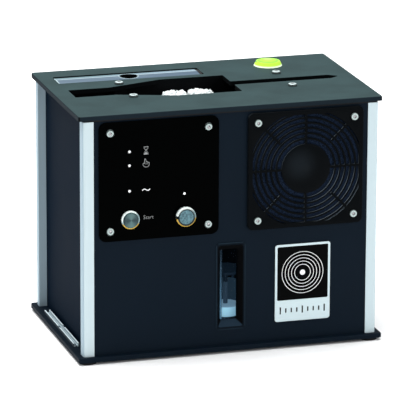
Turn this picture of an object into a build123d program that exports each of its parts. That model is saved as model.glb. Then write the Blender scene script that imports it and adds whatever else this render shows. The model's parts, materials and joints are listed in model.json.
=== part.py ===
"""Record cleaning machine: an upright case with a slot on top into which a record is lowered.

Four brush rollers scrub the record in a wash trough, an ultrasonic transducer shakes the water, two wheels
turn the record on its edge, and two fans dry it. The water waits in a front tank with a float that shows
behind a window.

Frame: +X to the right, +Y to the back, +Z up, origin on the ground under the middle of the case. Millimetres.
"""

from build123d import *
from math import acos, atan2, cos, degrees, pi, radians, sin, sqrt, tan
import os

os.makedirs("parts", exist_ok=True)

# ---------------------------------------------------------------- record that the machine is made for
RECORD_R = 151.0
RECORD_X = 1.0
RECORD_BOTTOM = 50.0
RECORD_END_GAP = 1.5  # from its edge to the side panels

# ---------------------------------------------------------------- driving dimensions: case
BASE_LEDGE_W = 6.0  # past the corner posts, left and right
BASE_LEDGE_D = 5.0  # front and back
TOP_LEDGE_W = 4.5
TOP_LEDGE_D = 0.5
CASE_H = 275.0  # ground to the top surface
FOOT_H = 3.0
PLATE_T = 5.0
SEAL_T = 1.5
SEAL_INSET = 0.5
POST = 12.0
POST_CORNER_R = 3.0
PANEL_T = 3.0
FACE_SETBACK = 1.0  # front and rear panels behind the posts' faces
GROOVE = 3.0  # depth of the panel grooves in the posts
PLATE_CORNER_R = 3.0
EDGE_BREAK = 0.6
FOOT_R = 9.5
STUD_R = 2.0
STUD_L = 16.0
RAIL_W = 6.3
RAIL_H = 4.0
RAIL_L = 126.0
RAIL_WALL = 1.2
RAIL_NOTCH = 8.0
RAIL_MARGIN = 5.0  # from the base plate's edge

# fits
SLIDE_GAP = 0.1  # a panel in its groove, each side
PLAY = 0.3  # loose pieces
RUN_GAP = 0.08  # a shaft in its bore, radial
SCREW_GAP = 0.1
CUT_GAP = 0.4  # a body in its cut-out, each side

# ---------------------------------------------------------------- driving dimensions: record slot and chamber
SLOT_Y = -2.5  # the record's plane
SLOT_LEFT_GAP = 1.0  # past the record's edge
SLOT_TIP_GAP = 0.8
SLOT_NARROW = 33.4
SLOT_WIDE = 74.0
SLOT_RIGHT = 15.5
FLARE_RUN = 46.0  # slot's left end to the start of its flare
FLARE_END = -42.0
WIDE_END = 30.5
SLOT_POINT_L = 10.8
SLOT_CORNER_R = 1.5
TOP_SCREW_X = 90.0
TOP_SCREW_INSET = 7.5  # from the chamber's wall
CHAMBER_WALL = 3.0
CHAMBER_SIDE_GAP = 2.5  # to the side panels
TROUGH_BOTTOM = 42.0
TROUGH_DUCT_GAP = 6.2  # rim under the fans' ducts
TROUGH_SLOPE_H = 48.0  # of the sloping ends
FLOOR_BOSS_R = 8.0
FLOOR_BOSS_H = 5.0
BLOCK_W = 14.0
BLOCK_D = 13.0
BLOCK_H = 30.0

# ---------------------------------------------------------------- driving dimensions: rollers and gears
ROLLER_R = 14.0
ROLLER_X = -30.0  # the left pair
ROLLER_SPREAD = 17.0  # from the record's plane
ROLLER_BOTTOM = 52.0
ROLLER_SINK = 9.5  # under the top surface
ROLLER_CAP = 5.0
SPINDLE_R = 4.0
MODULE = 1.5
ROLLER_TEETH = 19
LINK_TEETH = 12
MOTOR_TEETH = 30
PRESSURE_ANGLE = 20.0
ADDENDUM = 0.8  # of the module, stub teeth
DEDENDUM = 1.2
BACKLASH = 0.25
GEAR_BOTTOM = 22.0
GEAR_T = 8.0
GEAR_HUB_R = 7.0
BRACKET_T = 3.0
BRACKET_BOTTOM = 14.0
BRACKET_LEG_R = 4.0
BRACKET_MARGIN = 6.0
SHELF_BOTTOM = 34.0
SMALL_SHAFT_R = 3.0
SHAFT_LIFT = 0.2  # shaft ends over the bracket's underside
MOTOR_R = 12.5
MOTOR_H = 58.0
MOTOR_NECK_R = 6.0
MOTOR_ROUND = 1.5

# ---------------------------------------------------------------- driving dimensions: record drive
WHEEL_R = 10.0
WHEEL_T = 12.0
WHEEL_GROOVE = 1.5
WHEEL_SPAN = 92.0  # from the record's centre, left and right
WHEEL_BOSS_R = 7.0
WHEEL_BOSS_L = 8.0
DRIVE_MOTOR_R = 15.0
DRIVE_MOTOR_L = 34.0
DRIVE_FLANGE_R = 18.0
DRIVE_FLANGE_T = 4.0
DRIVE_SOCKET = 7.0
TRANSDUCER_X = 62.0
TRANSDUCER_R = 22.0
TRANSDUCER_H = 12.0
TRANSDUCER_STEM_R = 9.0
TRANSDUCER_STEM_H = 10.0

# ---------------------------------------------------------------- driving dimensions: fans
FAN_SIDE_GAP = 6.0  # guard to the right posts
FAN_TOP_GAP = 3.8  # guard to the top plate
GRILLE_W = 130.0
GRILLE_CORNER_R = 6.0
GRILLE_T = 4.0
GRILLE_SCREW_INSET = 10.65
GRILLE_RIM = 5.0
RIB_T = 1.6
RIB_W = 2.0
RIB_STEP = 5.8
HUB_DISC_R = 27.5
HUB_RISE = 1.6  # the disc's dome over the ribs
GRILLE_ROUND = 1.0
SPOKE_W = 2.4
SHORT_SPOKE_R = 41.0  # its inner end
MAT_GAP = 0.4
FAN_INSET = 3.0  # inside the guard's outline
FAN_T = 25.0
FAN_WALL = 5.0
FAN_CORNER_R = 5.0
FAN_MOUNT_R = 20.0
FAN_MOUNT_T = 3.0
FAN_STRUT_W = 5.0
ROTOR_HUB_R = 19.0
ROTOR_TIP_GAP = 1.0
ROTOR_PIN_R = 2.5
ROTOR_END_GAP = 1.0
ROTOR_FRONT_GAP = 2.0
BLADES = 7
BLADE_ROOT_CHORD = 22.0
BLADE_TIP_CHORD = 30.0
BLADE_T = 1.6
BLADE_ROOT_PITCH = 45.0
BLADE_TIP_PITCH = 25.0
DUCT_WALL = 2.0
LOUVRE_T = 2.0
LOUVRES = 5

# ---------------------------------------------------------------- driving dimensions: controls
CONTROL_SIDE_GAP = 5.6  # to the left posts
CONTROL_TOP_GAP = 3.2  # to the top plate
CONTROL_W = 133.0
CONTROL_H = 131.4
CONTROL_T = 2.0
CONTROL_CORNER_R = 8.0
CONTROL_SCREW_INSET = 12.0
CUTOUT_SIDE = 5.5  # beside the screws' lines
CUTOUT_END = 1.5
SCREW_R = 2.0
SCREW_HEAD_R = 4.2
SCREW_HEAD_H = 2.2
SCREW_SOCKET = 2.5  # across the flats
SCREW_SOCKET_DEPTH = 1.3
SCREW_L = 12.0
SCREW_DOME = 0.6  # of the head's height
TOP_SCREW_R = 2.5
TOP_SCREW_HEAD_R = 5.0
TOP_SCREW_HEAD_H = 2.7
TOP_SCREW_SOCKET = 3.0
TOP_SCREW_L = 16.0
LAMP_R = 1.5
LAMP_L = 6.0
LAMP_PROUD = 0.6
LAMP_OFFSETS = ((-33.0, 32.5), (-33.0, 17.2), (-33.0, -11.0), (28.0, -18.1))  # from the plate's middle
BUTTON_SIDE = 16.7  # from the cut-out's side
BUTTON_LOW = 10.5  # from its lower edge
BUTTON_R = 7.6
BUTTON_RING_R = 10.0
BUTTON_RING_H = 3.0
BUTTON_PROUD = 1.6  # past its ring
BUTTON_TRAVEL = 1.5
BUTTON_L = 9.0
SWITCH_BODY_R = 9.0
SWITCH_NUT = 22.0  # across the corners
SWITCH_NUT_T = 3.0
SELECTOR_SIDE = 20.7
SELECTOR_LOW = 10.4
SELECTOR_RING_R = 9.6
SELECTOR_RING_H = 1.2
SELECTOR_KNOB_R = 10.8
SELECTOR_KNOB_H = 6.0
SELECTOR_FACE_R = 8.3
SELECTOR_GROOVE_W = 0.6
SELECTOR_GROOVE_H = 1.0
SELECTOR_BEVEL = 1.0
SELECTOR_SHAFT_R = 3.0
SELECTOR_SHAFT_L = 12.0
SELECTOR_NOTCH_W = 3.4
SELECTOR_NOTCH_H = 3.0
BOARD_W = 98.0
BOARD_H = 114.0
BOARD_T = 1.6
BOARD_DEPTH = 24.5  # behind the front panel
CHIP_PLACE = (-20.0, 23.0)  # from the board's middle
CHIP_W = 24.0
RELAY_PLACE = (24.0, 0.0)
RELAY_W = 20.0
RELAY_H = 38.0
CAPACITOR_PLACE = (-20.0, -28.0)
CAPACITOR_STEP = 12.0
CAPACITOR_R = 5.0
BOARD_PARTS_T = 4.0

# ---------------------------------------------------------------- driving dimensions: window, tank and float
WINDOW_X = -0.6
WINDOW_LOW_GAP = 17.7  # over the base plate
WINDOW_W = 33.2
WINDOW_CORNER_R = 3.0
SIGHT_W = 19.5
SIGHT_END = 9.4  # to the bezel's ends
SIGHT_CORNER_R = 2.0
WINDOW_DEPTH = 7.5
WINDOW_LIP = 1.2
WINDOW_LIP_T = 0.8
WINDOW_WALL = 1.5
PANE_T = 2.0
PANE_MARGIN = 4.0
TANK_SIDE_GAP = 5.5  # to the side panels
TANK_WALL = 2.5
TANK_HEADROOM = 7.4  # under the control plate and the fan's frame
TANK_RISE = 4.5  # over the window
TANK_GAP = 0.8  # to the wash trough
TANK_CORNER_R = 3.0
FILLER_SIDE = 30.0  # from the tank's left end
FILLER_R = 10.0
FLOAT_X = 4.0
FLOAT_R = 15.0
FLOAT_H = 12.0
FLOAT_ROUND = 1.5
FLOAT_Z = 33.0
FLOAT_TOP = 82.0  # underside of the cage's cap
CAGE_R = 19.5
CAGE_FRONT_GAP = 2.5  # to the tank's walls
CAGE_REAR_GAP = 2.2
CAGE_PLATE_T = 3.0
CAGE_ROD_R = 2.5
CAGE_LEG_R = 1.4
CAGE_LEG_INSET = 0.8
CAGE_COLLAR_R = 5.0

# ---------------------------------------------------------------- driving dimensions: top fittings, nameplate
LID_END_GAP = 0.8  # to the left side panel
LID_FAN_GAP = 8.1  # to the rear fan
LID_WALL_GAP = 7.3  # to the splash wall
LID_D = 30.4
LID_T = 5.0  # along its ridge
LID_EDGE_T = 4.0
LID_CORNER_R = 2.0
FINGER_R = 10.0
BASKET_WALL = 2.0
BASKET_RIM = 5.0  # front and back
BASKET_END_RIM = 0.5  # left and right
BASKET_RIM_T = 3.0
BASKET_DEPTH = 52.0
BASKET_MARGIN = 1.5
LEVEL_SIDE = 77.3  # from the top plate's right edge
LEVEL_BACK = 37.0  # from its back edge
LEVEL_R = 15.8
LEVEL_TOP_R = 13.4
LEVEL_H = 5.0
LEVEL_WALL = 1.5
LEVEL_FLOOR = 1.5
VIAL_RISE = 2.0
NAMEPLATE_SHIFT = 1.6  # left of the fan's middle
NAMEPLATE_TOP_GAP = 19.6  # under the fan guard
NAMEPLATE_LOW_GAP = 21.4  # over the base plate
NAMEPLATE_W = 62.8
NAMEPLATE_T = 1.5
NAMEPLATE_R = 3.0
NAMEPLATE_BORDER = 2.5
NAMEPLATE_FIELD_LOW = 24.0  # height of the bright band at the bottom
NAMEPLATE_SINK = 0.5

# ---------------------------------------------------------------- driving dimensions: rear fittings, pump
INLET_SIDE = 45.5  # from the left posts
INLET_Z = 62.0
INLET_W = 30.0
INLET_H = 58.0
INLET_T = 2.5
INLET_CORNER_R = 2.0
INLET_BODY_W = 26.0
INLET_BODY_H = 50.0
INLET_DEPTH = 24.0
SOCKET_W = 22.0
SOCKET_H = 16.0
SOCKET_DEPTH = 15.0
SOCKET_DROP = 11.0  # socket's centre under the inlet's centre
PIN_W = 2.0
PIN_H = 4.0
PIN_L = 9.0
PIN_PITCH = 7.0
ROCKER_RISE = 14.0  # rocker's axis over the inlet's centre
ROCKER_W = 15.0
ROCKER_R = 9.0
ROCKER_TILT = 9.0
ROCKER_FACE = 3.2  # its face before the axis
ROCKER_DIP = 1.3  # depth of the valley between the wings
ROCKER_AXIS_DEPTH = 2.0
ROCKER_PIN_R = 1.5
ROCKER_PIN_L = 2.0
TAP_SIDE = 29.5  # from the right posts
TAP_Z = 26.0
TAP_FLANGE_R = 11.0
TAP_FLANGE_T = 2.5
TAP_R = 7.5
TAP_BODY_L = 15.0
SPIGOT_R = 5.0
SPIGOT_L = 14.0
SPIGOT_BORE_R = 3.5
TAP_PIPE_R = 5.0
TAP_NECK_R = 5.2
TAP_STEM_R = 2.5
TAP_STEM_H = 4.0
LEVER_L = 22.0
LEVER_W = 7.0
LEVER_T = 3.0
PUMP_SIDE = 30.0  # from the tank's left end
PUMP_Z = 27.0
PUMP_R = 15.0
PUMP_L = 52.0
PUMP_FOOT_W = 22.0
PUMP_NOZZLE_R = 4.0
PUMP_NOZZLE_L = 8.0

# ---------------------------------------------------------------- places that follow from them
# along the record: slot, side panels, posts
POST_IN_X = RECORD_X + RECORD_R + RECORD_END_GAP
FRAME_W = 2 * (POST_IN_X + POST)
BASE_W = FRAME_W + 2 * BASE_LEDGE_W
TOP_W = FRAME_W + 2 * TOP_LEDGE_W
POST_X = POST_IN_X + POST / 2
FRONT_HALF_W = POST_IN_X + GROOVE - SLIDE_GAP
SLOT_LEFT = RECORD_X - RECORD_R - SLOT_LEFT_GAP
SLOT_TIP = RECORD_X + RECORD_R + SLOT_TIP_GAP
FLARE_START = SLOT_LEFT + FLARE_RUN
TAPER_START = SLOT_TIP - SLOT_POINT_L
CHAMBER_HALF = POST_IN_X - CHAMBER_SIDE_GAP
TANK_HALF = POST_IN_X - TANK_SIDE_GAP

# from the record's plane to the front: chamber, tank, pane, window, front panel
CHAMBER_IN = SLOT_WIDE / 2
CHAMBER_OUT = CHAMBER_IN + CHAMBER_WALL
CHAMBER_FRONT = SLOT_Y - CHAMBER_OUT
CHAMBER_REAR = SLOT_Y + CHAMBER_OUT
TOP_SCREW_Y = CHAMBER_IN - TOP_SCREW_INSET  # from the record's plane
TANK_REAR = -CHAMBER_FRONT + TANK_GAP
TANK_FRONT = TANK_REAR + 2 * TANK_WALL + CAGE_REAR_GAP + 2 * CAGE_R + CAGE_FRONT_GAP
TANK_MID = (TANK_FRONT + TANK_REAR) / 2
FLOAT_Y = -(TANK_FRONT - TANK_WALL - CAGE_FRONT_GAP - CAGE_R)
BEZEL_BACK = TANK_FRONT + PANE_T  # the pane lies between the bezel and the tank
FACE = BEZEL_BACK + WINDOW_DEPTH  # outer faces of the front and rear panels, from the middle
FACE_IN = FACE - PANEL_T
FRAME_D = 2 * (FACE + FACE_SETBACK)
BASE_D = FRAME_D + 2 * BASE_LEDGE_D
TOP_D = FRAME_D + 2 * TOP_LEDGE_D
POST_Y = FRAME_D / 2 - POST / 2
POST_IN_Y = FRAME_D / 2 - POST
SIDE_HALF_D = POST_IN_Y + GROOVE - SLIDE_GAP
POST_PLACES = [(sx * POST_X, sy * POST_Y) for sx in (-1, 1) for sy in (-1, 1)]
BOARD_Y = FACE_IN - BOARD_DEPTH
GRILLE_FACE = FACE + GRILLE_T
CONTROL_FACE = FACE + CONTROL_T
FAN_INNER = FACE_IN - FAN_T

# heights from the ground, and from the top down
BASE_TOP = FOOT_H + PLATE_T
TOP_UNDER = CASE_H - PLATE_T
WALL_TOP = TOP_UNDER - SEAL_T
WALL_MID = (BASE_TOP + WALL_TOP) / 2
LID_BOTTOM = TOP_UNDER
SHAFT_BOTTOM = BRACKET_BOTTOM + SHAFT_LIFT
ROLLER_TOP = CASE_H - ROLLER_SINK

# fans, right: guard, frame, mouth
FAN_X = POST_IN_X - FAN_SIDE_GAP - GRILLE_W / 2
FAN_Z = TOP_UNDER - FAN_TOP_GAP - GRILLE_W / 2
GRILLE_PITCH = GRILLE_W - 2 * GRILLE_SCREW_INSET
MOUTH_W = GRILLE_W - 2 * GRILLE_RIM
MOUTH_R = GRILLE_W / 2
FAN_W = GRILLE_W - 2 * FAN_INSET
FAN_BORE_R = FAN_W / 2 - FAN_WALL

# controls, left: plate, cut-out, lamps, button, selector
CONTROL_X = -(POST_IN_X - CONTROL_SIDE_GAP - CONTROL_W / 2)
CONTROL_Z = TOP_UNDER - CONTROL_TOP_GAP - CONTROL_H / 2
CONTROL_PITCH = CONTROL_W - 2 * CONTROL_SCREW_INSET
CUTOUT_W = CONTROL_PITCH - 2 * CUTOUT_SIDE
CUTOUT_H = CONTROL_PITCH - 2 * CUTOUT_END
LAMP_PLACES = [(CONTROL_X + x, CONTROL_Z + z) for x, z in LAMP_OFFSETS]
BUTTON_X = CONTROL_X - CUTOUT_W / 2 + BUTTON_SIDE
BUTTON_Z = CONTROL_Z - CUTOUT_H / 2 + BUTTON_LOW
SELECTOR_X = CONTROL_X + CUTOUT_W / 2 - SELECTOR_SIDE
SELECTOR_Z = CONTROL_Z - CUTOUT_H / 2 + SELECTOR_LOW

# under the controls and the fan: tank and window
TANK_TOP = min(CONTROL_Z - CONTROL_H / 2, FAN_Z - FAN_W / 2) - TANK_HEADROOM
WINDOW_BOTTOM = BASE_TOP + WINDOW_LOW_GAP
WINDOW_H = TANK_TOP - TANK_RISE - WINDOW_BOTTOM
WINDOW_Z = WINDOW_BOTTOM + WINDOW_H / 2
SIGHT_H = WINDOW_H - 2 * SIGHT_END
FILLER_X = -(TANK_HALF - FILLER_SIDE)
PUMP_X = -(TANK_HALF - PUMP_SIDE)

# under the fan guard: nameplate
PLATE_X = FAN_X - NAMEPLATE_SHIFT
NAMEPLATE_BOTTOM = BASE_TOP + NAMEPLATE_LOW_GAP
NAMEPLATE_H = FAN_Z - GRILLE_W / 2 - NAMEPLATE_TOP_GAP - NAMEPLATE_BOTTOM
PLATE_Z = NAMEPLATE_BOTTOM + NAMEPLATE_H / 2

# lid between the left side panel and the rear fan; level; back
LID_LEFT = -(POST_IN_X - LID_END_GAP)
LID_W = FAN_X - FAN_W / 2 - LID_FAN_GAP - LID_LEFT
LID_X = LID_LEFT + LID_W / 2
LID_Y = CHAMBER_REAR + LID_WALL_GAP + LID_D / 2
LEVEL_X = TOP_W / 2 - LEVEL_SIDE
LEVEL_Y = TOP_D / 2 - LEVEL_BACK
INLET_X = -(POST_IN_X - INLET_SIDE)
TAP_X = POST_IN_X - TAP_SIDE

# rollers, gears, wheels and trough
PITCH_R = MODULE * ROLLER_TEETH / 2
ROLLER_STEP = 2 * PITCH_R  # neighbours mesh at this distance
ROLLER_Y = {"front": SLOT_Y - ROLLER_SPREAD, "rear": SLOT_Y + ROLLER_SPREAD}
ROLLER_XS = {"left": ROLLER_X, "right": ROLLER_X + ROLLER_STEP}
LINK_REACH = MODULE * (ROLLER_TEETH + LINK_TEETH) / 2
LINK_X = ROLLER_X - sqrt(LINK_REACH**2 - ROLLER_SPREAD**2)
MOTOR_Y = ROLLER_Y["rear"] + MODULE * (ROLLER_TEETH + MOTOR_TEETH) / 2
MOTOR_TIP_R = MODULE * (MOTOR_TEETH / 2 + ADDENDUM)
RECORD_Z = RECORD_BOTTOM + RECORD_R
WHEEL_Z = RECORD_Z - sqrt((RECORD_R + WHEEL_R) ** 2 - WHEEL_SPAN**2)
TROUGH_FLOOR_HALF = WHEEL_SPAN + WHEEL_R
TROUGH_KNEE = TROUGH_BOTTOM + TROUGH_SLOPE_H
TROUGH_TOP = FAN_Z - FAN_BORE_R - TROUGH_DUCT_GAP

# ---------------------------------------------------------------- helpers


def save(piece, name):
    """Label one finished piece and write it to its own file."""
    piece.part.label = name
    export_step(piece.part, f"parts/{name}.step")


def at_y(y):
    """Upright plane at this y, drawn in x and z; its normal points to the front."""
    return Plane.XZ.offset(-y)


def fan_plane(side, depth):
    """Upright plane at the fan's centre, this far from the middle; its normal points out of the case."""
    return Plane(origin=(FAN_X, side * depth, FAN_Z), x_dir=(-side, 0, 0), z_dir=(0, side, 0))


def mesh_phase(phase, teeth, other_teeth, direction):
    """Angle of a tooth of the other gear that sits in mesh, seen along direction from the first gear."""
    step = 2 * pi / teeth
    other_step = 2 * pi / other_teeth
    offset = ((direction - phase) / step) % 1.0
    return direction + pi - (0.5 - offset) * other_step


def involute(angle):
    """Involute function of a pressure angle."""
    return tan(angle) - angle


def gear_points(teeth, phase, centre):
    """Corner points of a spur gear: root, pitch and tip on both flanks of every tooth."""
    pitch_r = MODULE * teeth / 2
    base_r = pitch_r * cos(radians(PRESSURE_ANGLE))
    tip_r = pitch_r + ADDENDUM * MODULE
    root_r = pitch_r - DEDENDUM * MODULE
    half_pitch = pi / (2 * teeth) - BACKLASH / (2 * pitch_r)
    half_base = half_pitch + involute(radians(PRESSURE_ANGLE))
    half_tip = half_base - involute(acos(base_r / tip_r))
    flank = ((root_r, -half_base), (pitch_r, -half_pitch), (tip_r, -half_tip))
    flank += ((tip_r, half_tip), (pitch_r, half_pitch), (root_r, half_base))
    points = []
    for tooth in range(teeth):
        middle = phase + 2 * pi * tooth / teeth
        for radius, angle in flank:
            x = centre[0] + radius * cos(middle + angle)
            y = centre[1] + radius * sin(middle + angle)
            points.append((x, y))
    return points


def screw_shape(radius, length, head_r, head_h, socket):
    """Button-head screw with a hexagon socket, head up, seated on z = 0."""
    with BuildPart() as screw:
        with BuildSketch():
            Circle(radius)
        extrude(amount=-length)
        with BuildSketch():
            Circle(head_r)
        extrude(amount=head_h)
        fillet(screw.faces().sort_by(Axis.Z)[-1].edges(), head_h * SCREW_DOME)
        with BuildSketch(Plane.XY.offset(head_h)):
            RegularPolygon(socket / 2, 6, major_radius=False)
        extrude(amount=-SCREW_SOCKET_DEPTH, mode=Mode.SUBTRACT)
    return screw.part


# ---------------------------------------------------------------- case: base, posts, rails

with BuildPart() as base_plate:
    with BuildSketch(Plane.XY.offset(FOOT_H)):
        RectangleRounded(BASE_W, BASE_D, PLATE_CORNER_R)
        with Locations(*POST_PLACES):
            Circle(STUD_R + SCREW_GAP, mode=Mode.SUBTRACT)
    extrude(amount=PLATE_T)
    chamfer(base_plate.faces().sort_by(Axis.Z)[-1].outer_wire().edges(), EDGE_BREAK)
save(base_plate, "base_plate")

# Rubber foot with a moulded-in stud that runs up through the base plate into the post.
with BuildPart() as feet:
    with BuildSketch():
        with Locations(*POST_PLACES):
            Circle(FOOT_R)
    extrude(amount=FOOT_H)
    with BuildSketch(Plane.XY.offset(FOOT_H)):
        with Locations(*POST_PLACES):
            Circle(STUD_R)
    extrude(amount=PLATE_T + STUD_L)
save(feet, "feet")

# Extruded post: grooves for the front and side panels, and a core hole for the foot's stud.
with BuildPart() as corner_posts:
    with BuildSketch(Plane.XY.offset(BASE_TOP)) as post_section:
        with Locations((POST_X, POST_Y)):
            Rectangle(POST, POST)
        fillet(post_section.vertices().sort_by(Axis((0, 0, 0), (1, 1, 0)))[-1], POST_CORNER_R)
        with Locations((POST_IN_X + GROOVE / 2, FACE - PANEL_T / 2)):
            Rectangle(GROOVE, PANEL_T + 2 * SLIDE_GAP, mode=Mode.SUBTRACT)
        with Locations((POST_IN_X + (PANEL_T + SLIDE_GAP) / 2, POST_IN_Y + GROOVE / 2)):
            Rectangle(PANEL_T + SLIDE_GAP, GROOVE, mode=Mode.SUBTRACT)
        with Locations((POST_X, POST_Y)):
            Circle(STUD_R + SCREW_GAP, mode=Mode.SUBTRACT)
    extrude(amount=WALL_TOP - BASE_TOP)
    mirror(about=Plane.XZ)
    mirror(about=Plane.YZ)
save(corner_posts, "corner_posts")

# Low grooved channel on the ledge of the base plate, with a notch in the middle of its length.
rail_x = BASE_W / 2 - RAIL_MARGIN - RAIL_W / 2
with BuildPart() as base_rails:
    with BuildSketch(Plane.XY.offset(BASE_TOP)):
        with Locations((rail_x, 0)):
            Rectangle(RAIL_W, RAIL_L)
    extrude(amount=RAIL_H)
    with BuildSketch(Plane.XY.offset(BASE_TOP + RAIL_H)):
        with Locations((rail_x, 0)):
            Rectangle(RAIL_W - 2 * RAIL_WALL, RAIL_L)
    extrude(amount=-(RAIL_H - RAIL_WALL), mode=Mode.SUBTRACT)
    with BuildSketch(Plane.XY.offset(BASE_TOP + RAIL_H)):
        with Locations((rail_x, 0)):
            Rectangle(RAIL_W, RAIL_NOTCH)
    extrude(amount=-(RAIL_H - RAIL_WALL) / 2, mode=Mode.SUBTRACT)
    mirror(about=Plane.YZ)
save(base_rails, "base_rails")

# ---------------------------------------------------------------- case: panels


def long_panel(side):
    """Front (-1) or rear (1) panel blank between the posts, with the fan's bore and its screw holes."""
    with BuildPart() as panel:
        with BuildSketch(at_y(side * FACE)):
            with Locations((0, WALL_MID)):
                Rectangle(2 * FRONT_HALF_W, WALL_TOP - BASE_TOP)
            with Locations((FAN_X, FAN_Z)):
                Circle(FAN_BORE_R, mode=Mode.SUBTRACT)
                with GridLocations(GRILLE_PITCH, GRILLE_PITCH, 2, 2):
                    Circle(SCREW_R + SCREW_GAP, mode=Mode.SUBTRACT)
        extrude(amount=side * PANEL_T)
    return panel


front_blank = long_panel(-1)
collar_w = WINDOW_W - 2 * WINDOW_LIP  # the bezel behind its lip
collar_h = WINDOW_H - 2 * WINDOW_LIP
with BuildPart() as front_panel:
    add(front_blank.part)
    with BuildSketch(at_y(-FACE)):
        with Locations((CONTROL_X, CONTROL_Z)):
            Rectangle(CUTOUT_W, CUTOUT_H)
            with GridLocations(CONTROL_PITCH, CONTROL_PITCH, 2, 2):
                Circle(SCREW_R + SCREW_GAP)
        with Locations((WINDOW_X, WINDOW_Z)):
            RectangleRounded(collar_w + 2 * CUT_GAP, collar_h + 2 * CUT_GAP, WINDOW_CORNER_R)
    extrude(amount=-PANEL_T, mode=Mode.SUBTRACT)
save(front_panel, "front_panel")

rear_blank = long_panel(1)
with BuildPart() as rear_panel:
    add(rear_blank.part)
    with BuildSketch(at_y(FACE)):
        with Locations((INLET_X, INLET_Z)):
            Rectangle(INLET_BODY_W + 2 * CUT_GAP, INLET_BODY_H + 2 * CUT_GAP)
        with Locations((TAP_X, TAP_Z)):
            Circle(TAP_PIPE_R + CUT_GAP)
    extrude(amount=PANEL_T, mode=Mode.SUBTRACT)
save(rear_panel, "rear_panel")

for side, name in ((-1, "left_side_panel"), (1, "right_side_panel")):
    with BuildPart() as side_panel:
        with BuildSketch(Plane.YZ.offset(side * POST_IN_X)):
            with Locations((0, WALL_MID)):
                Rectangle(2 * SIDE_HALF_D, WALL_TOP - BASE_TOP)
        extrude(amount=side * PANEL_T)
    save(side_panel, name)

# ---------------------------------------------------------------- top plate

with BuildPart() as top_plate:
    with BuildSketch(Plane.XY.offset(TOP_UNDER)):
        RectangleRounded(TOP_W, TOP_D, PLATE_CORNER_R)
        with Locations((LID_X, LID_Y)):
            RectangleRounded(LID_W, LID_D, LID_CORNER_R, mode=Mode.SUBTRACT)
        with Locations((0, SLOT_Y)):
            with GridLocations(2 * TOP_SCREW_X, 2 * TOP_SCREW_Y, 2, 2):
                Circle(TOP_SCREW_R + SCREW_GAP, mode=Mode.SUBTRACT)
    extrude(amount=PLATE_T)
    chamfer(top_plate.faces().sort_by(Axis.Z)[-1].outer_wire().edges(), EDGE_BREAK)
    with BuildSketch(Plane.XY.offset(TOP_UNDER)) as slot_outline:
        with BuildLine(Plane((0, SLOT_Y, TOP_UNDER))):
            Polyline(
                (SLOT_LEFT, -SLOT_NARROW / 2),
                (FLARE_START, -SLOT_NARROW / 2),
                (FLARE_END, -SLOT_WIDE / 2),
                (WIDE_END, -SLOT_WIDE / 2),
                (WIDE_END, -SLOT_RIGHT / 2),
                (TAPER_START, -SLOT_RIGHT / 2),
                (SLOT_TIP, 0),
                (TAPER_START, SLOT_RIGHT / 2),
                (WIDE_END, SLOT_RIGHT / 2),
                (WIDE_END, SLOT_WIDE / 2),
                (FLARE_END, SLOT_WIDE / 2),
                (FLARE_START, SLOT_NARROW / 2),
                (SLOT_LEFT, SLOT_NARROW / 2),
                close=True,
            )
        make_face()
        fillet(slot_outline.vertices(), SLOT_CORNER_R)
    extrude(amount=PLATE_T, mode=Mode.SUBTRACT)
save(top_plate, "top_plate")

with BuildPart() as top_seal:
    with BuildSketch(Plane.XY.offset(WALL_TOP)):
        RectangleRounded(FRAME_W - 2 * SEAL_INSET, FRAME_D - 2 * SEAL_INSET, POST_CORNER_R)
        Rectangle(2 * POST_IN_X, 2 * FACE_IN, mode=Mode.SUBTRACT)
    extrude(amount=SEAL_T)
save(top_seal, "top_seal")

top_screw = screw_shape(TOP_SCREW_R, TOP_SCREW_L, TOP_SCREW_HEAD_R, TOP_SCREW_HEAD_H, TOP_SCREW_SOCKET)
with BuildPart() as top_screws:
    with Locations((0, SLOT_Y, CASE_H)):
        with GridLocations(2 * TOP_SCREW_X, 2 * TOP_SCREW_Y, 2, 2):
            add(top_screw)
save(top_screws, "top_screws")

# ---------------------------------------------------------------- wash chamber


def floor_bosses():
    """Raised collars on the trough's floor round the four roller spindles."""
    return [(x, y) for x in ROLLER_XS.values() for y in ROLLER_Y.values()]


with BuildPart() as wash_trough:
    with BuildSketch(at_y(CHAMBER_REAR)):
        with BuildLine():
            Polyline(
                (-CHAMBER_HALF, TROUGH_TOP),
                (-CHAMBER_HALF, TROUGH_KNEE),
                (-TROUGH_FLOOR_HALF, TROUGH_BOTTOM),
                (TROUGH_FLOOR_HALF, TROUGH_BOTTOM),
                (CHAMBER_HALF, TROUGH_KNEE),
                (CHAMBER_HALF, TROUGH_TOP),
                close=True,
            )
        make_face()
    extrude(amount=2 * CHAMBER_OUT)
    offset(amount=-CHAMBER_WALL, openings=wash_trough.faces().sort_by(Axis.Z)[-1], kind=Kind.INTERSECTION)
    with BuildSketch(Plane.XY.offset(TROUGH_BOTTOM + CHAMBER_WALL)):
        with Locations(*floor_bosses()):
            Circle(FLOOR_BOSS_R)
    extrude(amount=FLOOR_BOSS_H)
    with BuildSketch(Plane.XY.offset(TROUGH_BOTTOM)):
        with Locations(*floor_bosses()):
            Circle(SPINDLE_R + RUN_GAP)
    extrude(amount=CHAMBER_WALL + FLOOR_BOSS_H, mode=Mode.SUBTRACT)
    with BuildSketch(at_y(SLOT_Y + CHAMBER_IN)):
        with Locations((RECORD_X - WHEEL_SPAN, WHEEL_Z), (RECORD_X + WHEEL_SPAN, WHEEL_Z)):
            Circle(WHEEL_BOSS_R)
    extrude(amount=WHEEL_BOSS_L)
    with BuildSketch(at_y(CHAMBER_REAR)):
        with Locations((RECORD_X - WHEEL_SPAN, WHEEL_Z), (RECORD_X + WHEEL_SPAN, WHEEL_Z)):
            Circle(SMALL_SHAFT_R + RUN_GAP)
    extrude(amount=CHAMBER_WALL + WHEEL_BOSS_L, mode=Mode.SUBTRACT)
save(wash_trough, "wash_trough")


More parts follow.
